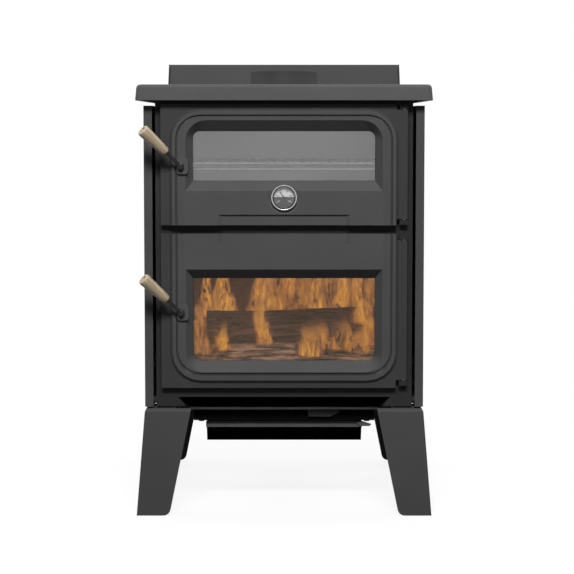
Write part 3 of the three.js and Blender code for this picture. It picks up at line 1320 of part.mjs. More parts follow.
// Ash drawer: a sheet tray whose front slopes back below its band; it hangs by the
// flanges turned in along its sides.
function ashDrawer() {
  const bandBottom = drawerTop - DRAWER_BAND;
  const rearTop = flangeZ[0] - 5;
  const side = (half) => prism([
    new THREE.Vector2(DRAWER_FRONT + 1, drawerTop),
    new THREE.Vector2(DRAWER_FRONT + 1, bandBottom),
    new THREE.Vector2(DRAWER_FRONT + DRAWER_SLOPE + 1, drawerBottom),
    new THREE.Vector2(drawerRear, drawerBottom),
    new THREE.Vector2(drawerRear, rearTop),
    new THREE.Vector2(drawerRear - 8, drawerTop),
  ], 'x', [half * (drawerHalf - SHEET), half * drawerHalf]);
  const front = prism([
    new THREE.Vector2(DRAWER_FRONT, drawerTop),
    new THREE.Vector2(DRAWER_FRONT, bandBottom),
    new THREE.Vector2(DRAWER_FRONT + DRAWER_SLOPE, drawerBottom),
    new THREE.Vector2(DRAWER_FRONT + DRAWER_SLOPE + 3, drawerBottom),
    new THREE.Vector2(DRAWER_FRONT + SHEET, bandBottom + 1),
    new THREE.Vector2(DRAWER_FRONT + SHEET, drawerTop),
  ], 'x', [-drawerHalf, drawerHalf]);
  const band = block(
    [-drawerHalf - 1.5, drawerHalf + 1.5],
    [DRAWER_FRONT - 1, DRAWER_FRONT + SHEET],
    [bandBottom, drawerTop],
  );
  const flanges = [-1, 1].map((half) => block(
    [half * (drawerHalf - 7), half * (drawerHalf - 1)],
    [DRAWER_FRONT + 4, drawerRear - 8],
    flangeZ,
  ));
  const pull = prism(outline([
    [drawerHalf - 13, drawerTop - 1],
    [drawerHalf + 1, drawerTop],
    [drawerHalf + DRAWER_PULL, drawerTop - 7, 1.5],
    [drawerHalf + DRAWER_PULL - 7, drawerTop - 11, 1.5],
    [drawerHalf - 4, drawerTop - 11],
  ]), 'y', [DRAWER_FRONT - 5, DRAWER_FRONT - 0.5]);
  return join(
    side(-1),
    side(1),
    front,
    band,
    ...flanges,
    pull,
    block(
      [-drawerHalf, drawerHalf],
      [DRAWER_FRONT + DRAWER_SLOPE, drawerRear],
      [drawerBottom, drawerBottom + SHEET],
    ),
    block([-drawerHalf, drawerHalf], [drawerRear - SHEET, drawerRear], [drawerBottom, rearTop]),
  );
}
piece('ash_drawer', ashDrawer(), DARK_STEEL);

// The grips' free ends reach furthest forward and the rear shield furthest back. The
// stove's floor box is centred between them.
const frontReach = Math.min(...gripProfile.map(([radius, height]) => (hubY[0] + hubY[1]) / 2
  - Math.sin(radians(HANDLE_TILT)) * (ROD_FREE_LENGTH + height)
  - Math.cos(radians(HANDLE_TILT)) * radius));
assembly.position.y = -(frontReach + shieldY[1]) / 2;

export default stove;
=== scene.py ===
import json
import math
import random

import bmesh
import bpy
from mathutils import Matrix, Vector, noise

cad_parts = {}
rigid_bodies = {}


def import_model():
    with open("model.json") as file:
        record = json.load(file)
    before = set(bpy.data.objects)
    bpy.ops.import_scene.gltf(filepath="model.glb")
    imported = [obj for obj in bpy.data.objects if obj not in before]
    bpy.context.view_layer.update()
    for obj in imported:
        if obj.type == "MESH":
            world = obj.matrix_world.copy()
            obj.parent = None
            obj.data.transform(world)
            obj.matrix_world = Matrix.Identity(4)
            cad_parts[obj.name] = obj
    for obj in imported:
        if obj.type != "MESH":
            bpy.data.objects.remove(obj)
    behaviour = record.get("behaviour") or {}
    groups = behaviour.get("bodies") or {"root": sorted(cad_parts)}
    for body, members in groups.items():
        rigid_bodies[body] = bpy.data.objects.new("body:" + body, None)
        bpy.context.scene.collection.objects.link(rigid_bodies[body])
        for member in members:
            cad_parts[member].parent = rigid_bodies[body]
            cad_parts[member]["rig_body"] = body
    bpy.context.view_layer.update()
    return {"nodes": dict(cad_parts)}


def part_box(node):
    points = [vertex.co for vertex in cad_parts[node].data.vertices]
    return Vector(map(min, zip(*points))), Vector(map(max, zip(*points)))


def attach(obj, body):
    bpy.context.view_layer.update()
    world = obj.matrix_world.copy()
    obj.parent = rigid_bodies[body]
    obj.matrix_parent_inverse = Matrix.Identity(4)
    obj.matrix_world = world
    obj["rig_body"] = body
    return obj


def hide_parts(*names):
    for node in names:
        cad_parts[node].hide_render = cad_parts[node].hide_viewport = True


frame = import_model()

# ------------------------------------------------------------------ view and studio
# The stove stands on a pale floor and is seen from straight in front, at the height of
# its oven, through a long lens. Soft panels light it from above, both sides and behind.

scene = bpy.context.scene
scene.view_settings.view_transform = "Standard"

CAMERA_PLACE = (0.0, -3.738, 0.8687)
CAMERA_PITCH = 4.09                 # degrees below level
SENSOR_WIDTH = 36                   # mm, as is the focal length
FOCAL_LENGTH = 99.2
LENS_SHIFT = (0.0051, -0.0884)      # shares of the frame's width
lens = bpy.data.cameras.new("front_camera")
lens.sensor_width = SENSOR_WIDTH
lens.lens = FOCAL_LENGTH
lens.shift_x, lens.shift_y = LENS_SHIFT
camera = bpy.data.objects.new("front_camera", lens)
camera.location = CAMERA_PLACE
camera.rotation_euler = (math.radians(90 - CAMERA_PITCH), 0, 0)
scene.collection.objects.link(camera)
scene.camera = camera


class Value:
    """A shader socket in an expression: each operator adds its Math node."""

    def __init__(self, nodes, socket):
        self.nodes = nodes
        self.socket = socket

    def maths(self, operation, *values):
        settings = {"operation": operation}
        return self.nodes.add("ShaderNodeMath", settings, dict(enumerate(values)))

    def __add__(self, other):
        return self.maths("ADD", self, other)

    def __sub__(self, other):
        return self.maths("SUBTRACT", self, other)

    def __rsub__(self, other):
        return self.maths("SUBTRACT", other, self)

    def __mul__(self, other):
        return self.maths("MULTIPLY", self, other)

    __radd__ = __add__
    __rmul__ = __mul__

    def absolute(self):
        return self.maths("ABSOLUTE", self)

    def clamped(self):
        return self.maths("MINIMUM", self.maths("MAXIMUM", self, 0.0), 1.0)

    def step(self, low, high):
        """0 below low, 1 above high, and a soft rise between them."""
        settings = {"interpolation_type": "SMOOTHSTEP"}
        limits = {"Value": self, "From Min": low, "From Max": high}
        return self.nodes.add("ShaderNodeMapRange", settings, limits)


class Nodes:
    """The node tree of a finish, of the floor's paint or of the surroundings."""

    def __init__(self, tree):
        self.tree = tree

    def add(self, kind, settings=None, inputs=None, output=0):
        node = self.tree.nodes.new(kind)
        for name, value in (settings or {}).items():
            setattr(node, name, value)
        self.feed(node, inputs or {})
        return Value(self, node.outputs[output])

    def feed(self, node, inputs):
        for name, value in inputs.items():
            socket = node.inputs[name]
            if isinstance(value, Value):
                self.tree.links.new(value.socket, socket)
            elif socket.type == "RGBA" and len(value) == 3:
                socket.default_value = (*value, 1)
            else:
                socket.default_value = value

    def mix(self, share, first, second):
        """The first colour at a share of 0, the second at 1."""
        inputs = {0: share, 6: first, 7: second}
        return self.add("ShaderNodeMix", {"data_type": "RGBA"}, inputs, 2)

    def seen(self):
        """1 where the camera, a reflection or a window looks, 0 for light itself."""
        rays = ("Is Camera Ray", "Is Glossy Ray", "Is Transmission Ray")
        camera_ray, glossy, through = (self.add("ShaderNodeLightPath", output=ray) for ray in rays)
        return (camera_ray + glossy + through).clamped()


WHITE = (1.0, 1.0, 1.0)
surroundings = bpy.data.worlds.new("pale_surroundings")
scene.world = surroundings
surroundings.use_nodes = True
sky = Nodes(surroundings.node_tree)
OVERHEAD = (0.16, 0.16, 0.163)
UNDERFOOT = (0.006, 0.006, 0.006)
BRIGHTENING = (0.15, 0.85)          # heights on the unit sphere over which the room brightens
direction = sky.add("ShaderNodeTexCoord", output="Generated")
height = sky.add("ShaderNodeSeparateXYZ", inputs={0: direction}, output="Z")
upwards = height.step(*BRIGHTENING)
room = sky.mix(upwards, UNDERFOOT, OVERHEAD)
sky.feed(sky.tree.nodes["Background"], {"Color": sky.mix(sky.seen(), room, WHITE)})

FLOOR_HALF = 14.0
FLOOR_LEVEL = -0.0005               # a hair below the feet
floor_mesh = bpy.data.meshes.new("pale_floor")
floor_ends = ((-1, -1), (1, -1), (1, 1), (-1, 1))
floor_corners = [(x * FLOOR_HALF, y * FLOOR_HALF, FLOOR_LEVEL) for x, y in floor_ends]
floor_mesh.from_pydata(floor_corners, [], [(0, 1, 2, 3)])
floor = bpy.data.objects.new("pale_floor", floor_mesh)
scene.collection.objects.link(floor)
floor_paint = bpy.data.materials.new("pale_floor_paint")
floor_paint.use_nodes = True
paint = Nodes(floor_paint.node_tree)
FLOOR_GLOW = 0.88                   # share of its white that no shadow dims, beside the stove
SHADOW_END = (0.55, 1.3)            # metres from the stove's middle over which shadows fade out
FLOOR_BOUNCE = (0.05, 0.05, 0.05)   # what it throws back at the stove as light
FLOOR_WHITE = (0.9, 0.9, 0.9)
floor_place = paint.add("ShaderNodeTexCoord", output="Object")
from_stove = paint.add("ShaderNodeVectorMath", {"operation": "LENGTH"}, {0: floor_place}, "Value")
glow_share = FLOOR_GLOW + (1 - FLOOR_GLOW) * from_stove.step(*SHADOW_END)
floor_tone = paint.mix(paint.seen(), FLOOR_BOUNCE, FLOOR_WHITE)
matte_white = paint.add("ShaderNodeBsdfDiffuse", inputs={"Color": floor_tone})
glow = paint.add("ShaderNodeEmission", inputs={"Color": WHITE, "Strength": 1.0})
floor_light = {0: paint.seen() * glow_share, 1: matte_white, 2: glow}
floor_surface = paint.add("ShaderNodeMixShader", inputs=floor_light)
paint.feed(paint.tree.nodes["Material Output"], {"Surface": floor_surface})
floor_mesh.materials.append(floor_paint)


def lamp_panel(name, place, aim, size, power, mirrored=True):
    """A soft lamp that the camera doesn't see; where not mirrored, nor do metal and glass."""
    data = bpy.data.lights.new(name, "AREA")
    data.shape = "RECTANGLE"
    data.size, data.size_y = size
    data.energy = power
    lamp = bpy.data.objects.new(name, data)
    lamp.location = place
    lamp.rotation_euler = (Vector(aim) - Vector(place)).to_track_quat("-Z", "Y").to_euler()
    lamp.visible_camera = False
    lamp.visible_glossy = mirrored
    scene.collection.objects.link(lamp)


lamp_panel("key_lamp", (0, -3.6, 3.9), (0, -0.25, 0.65), (2.2, 1.0), 272)
lamp_panel("front_lamp", (0, -3.6, 0.9), (0, -0.25, 0.5), (2.4, 0.8), 6, mirrored=False)
lamp_panel("left_lamp", (-2.9, 0.8, 2.6), (0, 0.1, 0.6), (1.4, 0.8), 38)
lamp_panel("right_lamp", (2.9, 0.8, 2.6), (0, 0.1, 0.6), (1.4, 0.8), 38)
lamp_panel("rear_lamp", (0, 3.0, 2.7), (0, 0.2, 0.6), (1.6, 0.8), 64, mirrored=False)

# ------------------------------------------------------------------ legs
# Four L-section legs, sand-cast in iron and painted stove black, splayed outwards. Each
# hangs on one hexagon bolt that goes up through its flange into the bottom plate.


class Finish(Nodes):
    """One Principled material, with what changes over its surface fed in."""

    def __init__(self, name, **fixed):
        self.material = bpy.data.materials.new(name)
        self.material.use_nodes = True
        super().__init__(self.material.node_tree)
        self.shader = self.tree.nodes["Principled BSDF"]
        self.place = self.add("ShaderNodeTexCoord", output="Object")
        self.set(**fixed)

    def set(self, **sockets):
        self.feed(self.shader, {name.replace("_", " "): value for name, value in sockets.items()})

    def stretched(self, scales):
        inputs = {0: self.place, 1: scales}
        return self.add("ShaderNodeVectorMath", {"operation": "MULTIPLY"}, inputs)

    def axis(self, name):
        return self.add("ShaderNodeSeparateXYZ", inputs={0: self.place}, output=name)

    def noise(self, scale, detail=3.0, place=None, rough=0.5, swirl=0.0):
        inputs = {"Vector": place or self.place, "Scale": scale, "Detail": detail}
        inputs.update({"Roughness": rough, "Distortion": swirl})
        return self.add("ShaderNodeTexNoise", inputs=inputs)

    def relief(self, height, depth, strength=1.0):
        """Bumps of a depth in metres."""
        inputs = {"Height": height, "Distance": depth, "Strength": strength}
        return self.add("ShaderNodeBump", inputs=inputs)


DUST = (0.16, 0.155, 0.15)


def stove_black(name, colour, sheen, grain, grain_depth):
    """Stove paint on metal: even tone, faint clouding, and the metal's grain under it."""
    black = Finish(name)
    clouds = black.noise(7.0, 4.0)
    specks = black.noise(420.0, 2.0)
    tone = 0.82 + 0.3 * clouds + 0.1 * specks
    paler = tuple(1.25 * part for part in colour)
    darker = tuple(0.78 * part for part in colour)
    mottled = black.mix((tone - 0.8) * 1.6, darker, paler)
    dust = black.noise(2.6, 3.0).step(0.52, 0.78) * 0.1
    black.paint = black.mix(dust, mottled, DUST)
    black.set(
        Base_Color=black.paint,
        Roughness=sheen + 0.14 * (clouds - 0.5) + 0.1 * (specks - 0.5),
        Specular_IOR_Level=0.05,
        Normal=black.relief(black.noise(grain, 4.0, rough=0.6), grain_depth, 0.55),
    )
    return black


CAST_BLACK = (0.074, 0.074, 0.0755)
cast_iron = stove_black("cast_iron_stove_black", CAST_BLACK, 0.5, 620.0, 0.00025)
SHEET_BLACK = (0.066, 0.066, 0.0675)
sheet_steel = stove_black("sheet_steel_stove_black", SHEET_BLACK, 0.42, 1400.0, 0.00006)
DULL_BLACK = (0.018, 0.018, 0.0185)
dull_steel = stove_black("dull_black_steel", DULL_BLACK, 0.58, 1100.0, 0.0001)


def dress(node, finish):
    """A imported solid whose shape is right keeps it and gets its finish."""
    materials = frame["nodes"][node].data.materials
    materials.clear()
    materials.append(finish.material)


def settle(piece, finish, node):
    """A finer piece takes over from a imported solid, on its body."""
    piece.data.materials.clear()
    piece.data.materials.append(finish.material)
    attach(piece, frame["nodes"][node]["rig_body"])
    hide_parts(node)


WELD = 0.00001
FLAT_WITHIN = math.radians(0.4)
EDGE_FROM = math.radians(22)


def rounded(node, finish, radius, segments=3):
    """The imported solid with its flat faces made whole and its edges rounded."""
    mesh = frame["nodes"][node].data.copy()
    mesh.name = f"{node}_rounded"
    piece = bpy.data.objects.new(f"{node}_rounded", mesh)
    scene.collection.objects.link(piece)
    form = bmesh.new()
    form.from_mesh(mesh)
    bmesh.ops.remove_doubles(form, verts=form.verts, dist=WELD)
    bmesh.ops.dissolve_limit(
        form,
        angle_limit=FLAT_WITHIN,
        verts=form.verts,
        edges=form.edges,
        use_dissolve_boundaries=False,
    )
    for face in form.faces:
        face.smooth = True
    form.to_mesh(mesh)
    form.free()
    edge = piece.modifiers.new("edge_rounding", "BEVEL")
    edge.width = radius
    edge.segments = segments
    edge.limit_method = "ANGLE"
    edge.angle_limit = EDGE_FROM
    edge.use_clamp_overlap = True
    edge.miter_outer = "MITER_ARC"
    shading = piece.modifiers.new("flat_faces_stay_flat", "WEIGHTED_NORMAL")
    shading.keep_sharp = True
    settle(piece, finish, node)


# The legs' black is darker than the other castings': painted shade for how little light reaches
# them low down.
leg_shaded_black = stove_black("leg_black_painted_shade", (0.059, 0.059, 0.06), 0.5, 620.0, 0.00025)
for corner in ("front_left", "rear_left", "front_right", "rear_right"):
    rounded(f"leg_{corner}", leg_shaded_black, 0.0018)
    rounded(f"leg_bolt_{corner}", dull_steel, 0.0005, 2)

# ------------------------------------------------------------------ body shell
# The body is a welded box: cast front frame with the hinge lugs on its face, steel side
# and rear walls, and a bottom plate with the ash hole and the air slots.

# The frame's black is much darker than the doors': painted shade for the parts of it that lie deep
# behind the doors, in their shadow.
frame_shade_black = stove_black("frame_black_painted_shade", (0.026, 0.026, 0.0265), 0.55, 620.0, 0.00025)
rounded("front_frame", frame_shade_black, 0.0009, 2)
for node in ("left_side_wall", "right_side_wall", "rear_wall", "bottom_plate"):
    rounded(node, sheet_steel, 0.0008, 2)

# ------------------------------------------------------------------ under the body
# A folded hood takes air in below the firebox door. Behind it hangs the bottom heat
# shield, a pan of sheet steel, with the air control and the ash drawer in its rails.

# Near black and without sheen: painted shade for the hood, which faces down and lies in the body's
# shadow.
shade_black = stove_black("painted_shade_black_steel", (0.005, 0.005, 0.0052), 0.7, 1100.0, 0.0001)
shade_black.set(Specular_IOR_Level=0.0)
rounded("air_intake_apron", shade_black, 0.0007, 2)

TONE_EDGE = 0.0003                   # half the height over which the tone changes


def lit_and_shaded_steel(name, height, above, below):
    """Black sheet steel that is paler above a height: painted light where a face catches it, and
    painted shade below.
    """
    sheet = stove_black(name, below, 0.5, 1100.0, 0.0001)
    lit_share = sheet.axis("Z").step(height - TONE_EDGE, height + TONE_EDGE)
    patches = sheet.noise(24.0, 4.0)
    toned = sheet.mix(lit_share * (0.75 + 0.4 * patches), below, above)
    sheet.set(Base_Color=toned, Specular_IOR_Level=0.0)
    return sheet


LIP_FOOT = 0.2236                    # the pan's front lip, painted as lit, begins here
LIP_PAINTED_LIGHT = (0.5, 0.5, 0.5)
PAN_PAINTED_SHADE = (0.008, 0.008, 0.0083)
BAND_FOOT = 0.1812                   # and the drawer front's band, painted as lit, here
BAND_PAINTED_LIGHT = (0.115, 0.115, 0.115)
DRAWER_PAINTED_SHADE = (0.002, 0.002, 0.0021)
# The pan's lip and the drawer's band are painted as lit, and the faces below them are painted as
# shaded.
pan_steel = lit_and_shaded_steel("pan_steel", LIP_FOOT, LIP_PAINTED_LIGHT, PAN_PAINTED_SHADE)
rounded("bottom_heat_shield", pan_steel, 0.0006, 2)
drawer_steel = lit_and_shaded_steel("drawer_steel", BAND_FOOT, BAND_PAINTED_LIGHT, DRAWER_PAINTED_SHADE)
rounded("ash_drawer", drawer_steel, 0.0005, 2)
control_steel = stove_black("control_steel", (0.045, 0.045, 0.046), 0.5, 900.0, 0.00008)
rounded("air_control", control_steel, 0.0006, 2)

# ------------------------------------------------------------------ firebox lining
# Firebricks line the sides and the rear in two staggered courses, and slabs cover the
# floor round the cast ash plug. A board baffle lies on three stainless air tubes.

SOOT = (0.03, 0.026, 0.024)


def fired_clay(name, colour, soot):
    """Porous clay or board with darker blotches, and a share of soot towards the top."""
    clay = Finish(name, Specular_IOR_Level=0.15)
    blotches = clay.noise(16.0, 5.0, rough=0.65)
    pores = clay.noise(260.0, 3.0, rough=0.7)
    toned = clay.mix(blotches.step(0.35, 0.7), colour, tuple(0.62 * part for part in colour))
    lifted = clay.axis("Z").step(0.36, 0.53)
    clay.set(
        Base_Color=clay.mix(soot * lifted * (0.4 + blotches), toned, SOOT),
        Roughness=0.86 + 0.1 * pores,
        Normal=clay.relief(pores + 0.5 * blotches, 0.0006, 0.6),
    )
    return clay


fire_brick = fired_clay("buff_fire_brick", (0.36, 0.235, 0.16), 0.75)
board = fired_clay("pressed_fibre_board", (0.46, 0.4, 0.32), 0.5)

BRICK_LENGTH = 0.228
SHORTEST_BRICK = 0.01
MORTAR_GAP = 0.0011
SET_BACK = 0.0006
WORN_EDGE = 0.0016


def brick_courses(node, along, seed):
    """Single bricks in two courses in a packed slab's place, run on axis 0 or 1."""
    low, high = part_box(node)
    chance = random.Random(seed)
    form = bmesh.new()
    middle = (low.z + high.z) / 2
    for course, (base, top) in enumerate(((low.z, middle), (middle, high.z))):
        start = low[along] - (BRICK_LENGTH / 2 if course else 0)
        while start < high[along] - SHORTEST_BRICK:
            end = start + BRICK_LENGTH
            brick_low, brick_high = Vector(low), Vector(high)
            brick_low[along] = max(start, low[along]) + MORTAR_GAP / 2
            brick_high[along] = min(end, high[along]) - MORTAR_GAP / 2
            brick_low.z, brick_high.z = base + MORTAR_GAP / 2, top - MORTAR_GAP / 2
            set_back = chance.uniform(0.0, SET_BACK)
            brick_low[1 - along] += set_back
            brick_high[1 - along] -= set_back
            size = brick_high - brick_low
            place = Matrix.Translation((brick_low + brick_high) / 2) @ Matrix.Diagonal((*size, 1))
            bmesh.ops.create_cube(form, size=1.0, matrix=place)
            start = end
    mesh = bpy.data.meshes.new(f"{node}_courses")
    form.to_mesh(mesh)
    form.free()
    wall = bpy.data.objects.new(f"{node}_courses", mesh)
    scene.collection.objects.link(wall)
    toned = wall.modifiers.new("worn_arrises", "BEVEL")
    toned.width = WORN_EDGE
    toned.segments = 2
    settle(wall, fire_brick, node)


brick_courses("firebrick_left", 1, 3)
brick_courses("firebrick_right", 1, 4)
brick_courses("firebrick_rear", 0, 5)
rounded("firebrick_floor", fire_brick, 0.0015, 2)
rounded("ash_plug", cast_iron, 0.0012, 2)
rounded("baffle", board, 0.002, 2)
for node in ("air_rail_left", "air_rail_right"):
    rounded(node, dull_steel, 0.0006, 2)

STRAW = (1.0, 0.86, 0.66)           # heat tint, as shares of the colour


def metal(name, colour, roughness, brushed, heat=0.0):
    """Bare metal with fine brushing along its shortest scale, and a little heat tint."""
    steel = Finish(name, Metallic=1.0)
    lines = steel.noise(1.0, 4.0, place=steel.stretched(brushed))
    stains = steel.noise(9.0, 3.0)
    tinted = tuple(part * share for part, share in zip(colour, STRAW))
    steel.set(
        Base_Color=steel.mix(heat * stains.step(0.4, 0.75), colour, tinted),
        Roughness=roughness + 0.12 * (lines - 0.5) + 0.1 * (stains - 0.5),
        Normal=steel.relief(lines, 0.00003, 0.4),
    )
    return steel


stainless = metal("heat_tinted_stainless", (0.42, 0.4, 0.37), 0.38, (20.0, 900.0, 900.0), 0.8)


def lathe(form, profile, place, steps=40):
    """Adds a turned body to a mesh: (radius, height) points swept round place's Z axis."""
    rings = []
    for step in range(steps):
        angle = 2 * math.pi * step / steps
        turn = (math.cos(angle), math.sin(angle))
        rings.append([
            form.verts.new(place @ Vector((radius * turn[0], radius * turn[1], height)))
            for radius, height in profile
        ])
    for step in range(steps):
        here, beside = rings[step], rings[(step + 1) % steps]
        for index in range(len(profile) - 1):
            form.faces.new((here[index], beside[index], beside[index + 1], here[index + 1]))


FINE_WELD = 0.000005


def made(name, form, sharp=35.0):
    """A finished mesh object from mesh code: welded, facing out and smooth."""
    bmesh.ops.remove_doubles(form, verts=form.verts, dist=FINE_WELD)
    bmesh.ops.dissolve_degenerate(form, dist=FINE_WELD, edges=form.edges)
    bmesh.ops.recalc_face_normals(form, faces=form.faces)
    mesh = bpy.data.meshes.new(name)
    form.to_mesh(mesh)
    form.free()
    mesh.shade_smooth()
    mesh.set_sharp_from_angle(angle=math.radians(sharp))
    piece = bpy.data.objects.new(name, mesh)
    scene.collection.objects.link(piece)
    return piece


def aimed(base, direction):
    """The place of a turned body that stands on base and points along direction."""
    turn = Vector(direction).to_track_quat("Z", "Y").to_matrix().to_4x4()
    return Matrix.Translation(base) @ turn


TUBE_BORE = 0.008
for node in ("air_tube_1", "air_tube_2", "air_tube_3"):
    low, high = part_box(node)
    radius = (high.z - low.z) / 2
    length = high.x - low.x
    form = bmesh.new()
    walls = [(TUBE_BORE, 0), (radius, 0), (radius, length), (TUBE_BORE, length), (TUBE_BORE, 0)]
    start = Vector((low.x, (low.y + high.y) / 2, (low.z + high.z) / 2))
    lathe(form, walls, aimed(start, (1, 0, 0)), 32)
    settle(made(f"{node}_pipe", form), stainless, node)

# ------------------------------------------------------------------ fire
# Three logs burn on a bed of embers. The flames are thin bodies of glowing gas, bright at
# their cores, that rise behind the logs, lick over them and run along the embers in front.

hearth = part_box("firebrick_floor")[1].z + 0.0003    # a hair above the floor bricks
CHAR = (0.012, 0.008, 0.007)
BARE_WOOD = (0.3, 0.165, 0.1)
WOOD_ASH = (0.085, 0.1, 0.115)
CRACK_GLOW = (0.6, 0.14, 0.02)


def burning_wood():
    """Charred bark: brown-black, grey with ash on top, with glowing cracks low down."""
    bark = Finish("charred_log_bark", Specular_IOR_Level=0.08)
    along_grain = bark.stretched((16.0, 120.0, 120.0))
    furrows = bark.noise(1.0, 5.0, place=along_grain, rough=0.72, swirl=0.5)
    ash = bark.noise(1.0, 3.0, place=bark.stretched((6.0, 14.0, 14.0)), rough=0.6)
    char = bark.mix(furrows.step(0.38, 0.62), CHAR, BARE_WOOD)
    upper = bark.axis("Z").step(0.428, 0.45)
    cracks = bark.noise(1.0, 3.0, place=bark.stretched((30.0, 70.0, 70.0)), swirl=1.2)
    glowing = 1 - (cracks - 0.5).absolute().step(0.004, 0.02)
    low_down = 1 - bark.axis("Z").step(0.3, 0.345)
    bark.set(
        Base_Color=bark.mix((ash + 0.35 * upper).step(0.52, 0.78), char, WOOD_ASH),
        Roughness=0.85 + 0.12 * furrows,
        Normal=bark.relief(furrows, 0.004, 1.0),
        Emission_Color=bark.mix(glowing * low_down, (0, 0, 0), CRACK_GLOW),
        Emission_Strength=1.0,
    )
    return bark


charred = burning_wood()
LOG_RINGS = 46
LOG_SIDES = 30
SAWN_END = 0.965                     # share of the radius left where the bark is broken off


def log(name, start, end, radius, seed, split=2.0):
    """A log with furrowed bark and sawn ends; below 1, split cuts a flat side on it."""
    start, end = Vector(start), Vector(end)
    length = (end - start).length
    place = aimed(start, end - start)
    form = bmesh.new()
    rings = []
    for ring in range(LOG_RINGS + 1):
        along = length * ring / LOG_RINGS
        sawn = SAWN_END if ring in (0, LOG_RINGS) else 1.0
        points = []
        for side in range(LOG_SIDES):
            angle = 2 * math.pi * side / LOG_SIDES
            cosine, sine = math.cos(angle), math.sin(angle)
            knots = noise.noise(Vector((cosine * 1.3, sine * 1.3, seed + along * 5)))
            furrow = abs(noise.noise(Vector((cosine * 7, sine * 7, seed + along * 16))))
            reach = radius * sawn * (1 + 0.13 * knots - 0.1 * furrow)
            x, y = reach * cosine, reach * sine
            x = min(x, split * radius * (1 + 0.06 * knots))
            points.append(form.verts.new(place @ Vector((x, y, along))))
        rings.append(points)
    for here, beside in zip(rings, rings[1:]):
        for side in range(LOG_SIDES):
            near = (side + 1) % LOG_SIDES
            form.faces.new((here[side], here[near], beside[near], beside[side]))
    for points, height in ((rings[0], 0.0), (rings[-1], length)):
        heart = form.verts.new(place @ Vector((0, 0, height)))
        for side in range(LOG_SIDES):
            form.faces.new((points[side], points[(side + 1) % LOG_SIDES], heart))
    wood = made(name, form, 50.0)
    wood.data.materials.append(charred.material)
    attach(wood, "body")


BED = 0.012                          # depth of embers under the logs
bed_top = hearth + BED
log("log_front", (-0.205, -0.128, bed_top + 0.036), (0.216, -0.138, bed_top + 0.033), 0.037, 3)
log("log_rear", (-0.16, -0.064, bed_top + 0.047), (0.2, -0.07, bed_top + 0.053), 0.026, 11)
log("log_top", (-0.179, -0.072, bed_top + 0.107), (0.215, -0.082, bed_top + 0.119), 0.034, 23, 0.7)

COALS = 170
BED_WIDE = 0.225                     # half width of the bed
BED_DEEP = (-0.178, 0.2)
COAL_SIZES = (0.007, 0.0125)
EMBER_DARK = (0.03, 0.022, 0.02)
EMBER_ASH = (0.2, 0.19, 0.18)
EMBER_GLOW = (0.5, 0.09, 0.01)
ember_glow = Finish("glowing_embers", Roughness=0.95, Specular_IOR_Level=0.05)
ember_heat = ember_glow.noise(60.0, 4.0, rough=0.6)
ember_glow.set(
    Base_Color=ember_glow.mix(ember_heat.step(0.45, 0.7), EMBER_DARK, EMBER_ASH),
    Emission_Color=ember_glow.mix(ember_heat.step(0.5, 0.62), EMBER_GLOW, (0, 0, 0)),
    Emission_Strength=1.0,
    Normal=ember_glow.relief(ember_heat, 0.002, 0.8),
)
chance = random.Random(41)
form = bmesh.new()
for coal in range(COALS):
    spot = Vector((chance.uniform(-BED_WIDE, BED_WIDE), chance.uniform(*BED_DEEP), hearth))
    grain = chance.uniform(*COAL_SIZES)
    turn = Matrix.Rotation(chance.uniform(0, 6.28), 4, (chance.random(), chance.random(), 1))
    size = Matrix.Diagonal((grain * chance.uniform(1.0, 1.6), grain, grain * 0.8, 1))
    place = Matrix.Translation(spot + Vector((0, 0, grain * 1.25))) @ turn @ size
    made_coal = bmesh.ops.create_icosphere(form, subdivisions=1, radius=1.0, matrix=place)
    for corner in made_coal["verts"]:
        corner.co += Vector([chance.uniform(-0.12, 0.12) * grain for _ in range(3)])
        corner.co.z = max(corner.co.z, hearth + 0.0002)
embers = made("ember_bed", form, 20.0)
embers.data.materials.append(ember_glow.material)
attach(embers, "body")

# Each point of a flame carries how deep it lies in the flame, how far up, and how hot it is.
GAS_EDGE = (0.18, 0.066, 0.022)
GAS_BODY = (0.39, 0.15, 0.032)
GAS_CORE = (0.7, 0.32, 0.025)
gas = Finish("glowing_gas", Base_Color=(0, 0, 0), Roughness=1.0, Specular_IOR_Level=0.0)
shape = gas.add("ShaderNodeAttribute", {"attribute_name": "tongue_shape"}, output="Color")
heart, rise, heat = (
    gas.add("ShaderNodeSeparateColor", inputs={0: shape}, output=index) for index in range(3)
)
wisps = gas.noise(1.0, 5.0, place=gas.stretched((105.0, 9.0, 30.0)), rough=0.68, swirl=1.5)
billows = gas.noise(1.0, 3.0, place=gas.stretched((40.0, 6.0, 17.0)), swirl=0.7)
thick = heart.step(0.0, 1.0) * (1.0 + 4.0 * (wisps - 0.5) + 3.2 * (billows - 0.5))
cool = gas.mix(thick.step(0.4, 1.1), GAS_EDGE, GAS_BODY)
ragged_tip = (rise + 1.1 * (wisps - 0.5)).step(0.4, 0.95)
gas.set(
    Emission_Color=gas.mix((thick + 0.6 * (heat - 0.8)).step(0.9, 1.9), cool, GAS_CORE),
    Emission_Strength=1.0,
    Alpha=thick.step(0.1, 1.3) * (0.48 + 0.38 * heat) * rise.step(0.0, 0.14) * (1 - ragged_tip),
)
FLAME_ROWS = 22
FLAME_SIDES = 16
FLAME_FLATNESS = 0.28                # depth of a flame as a share of its width


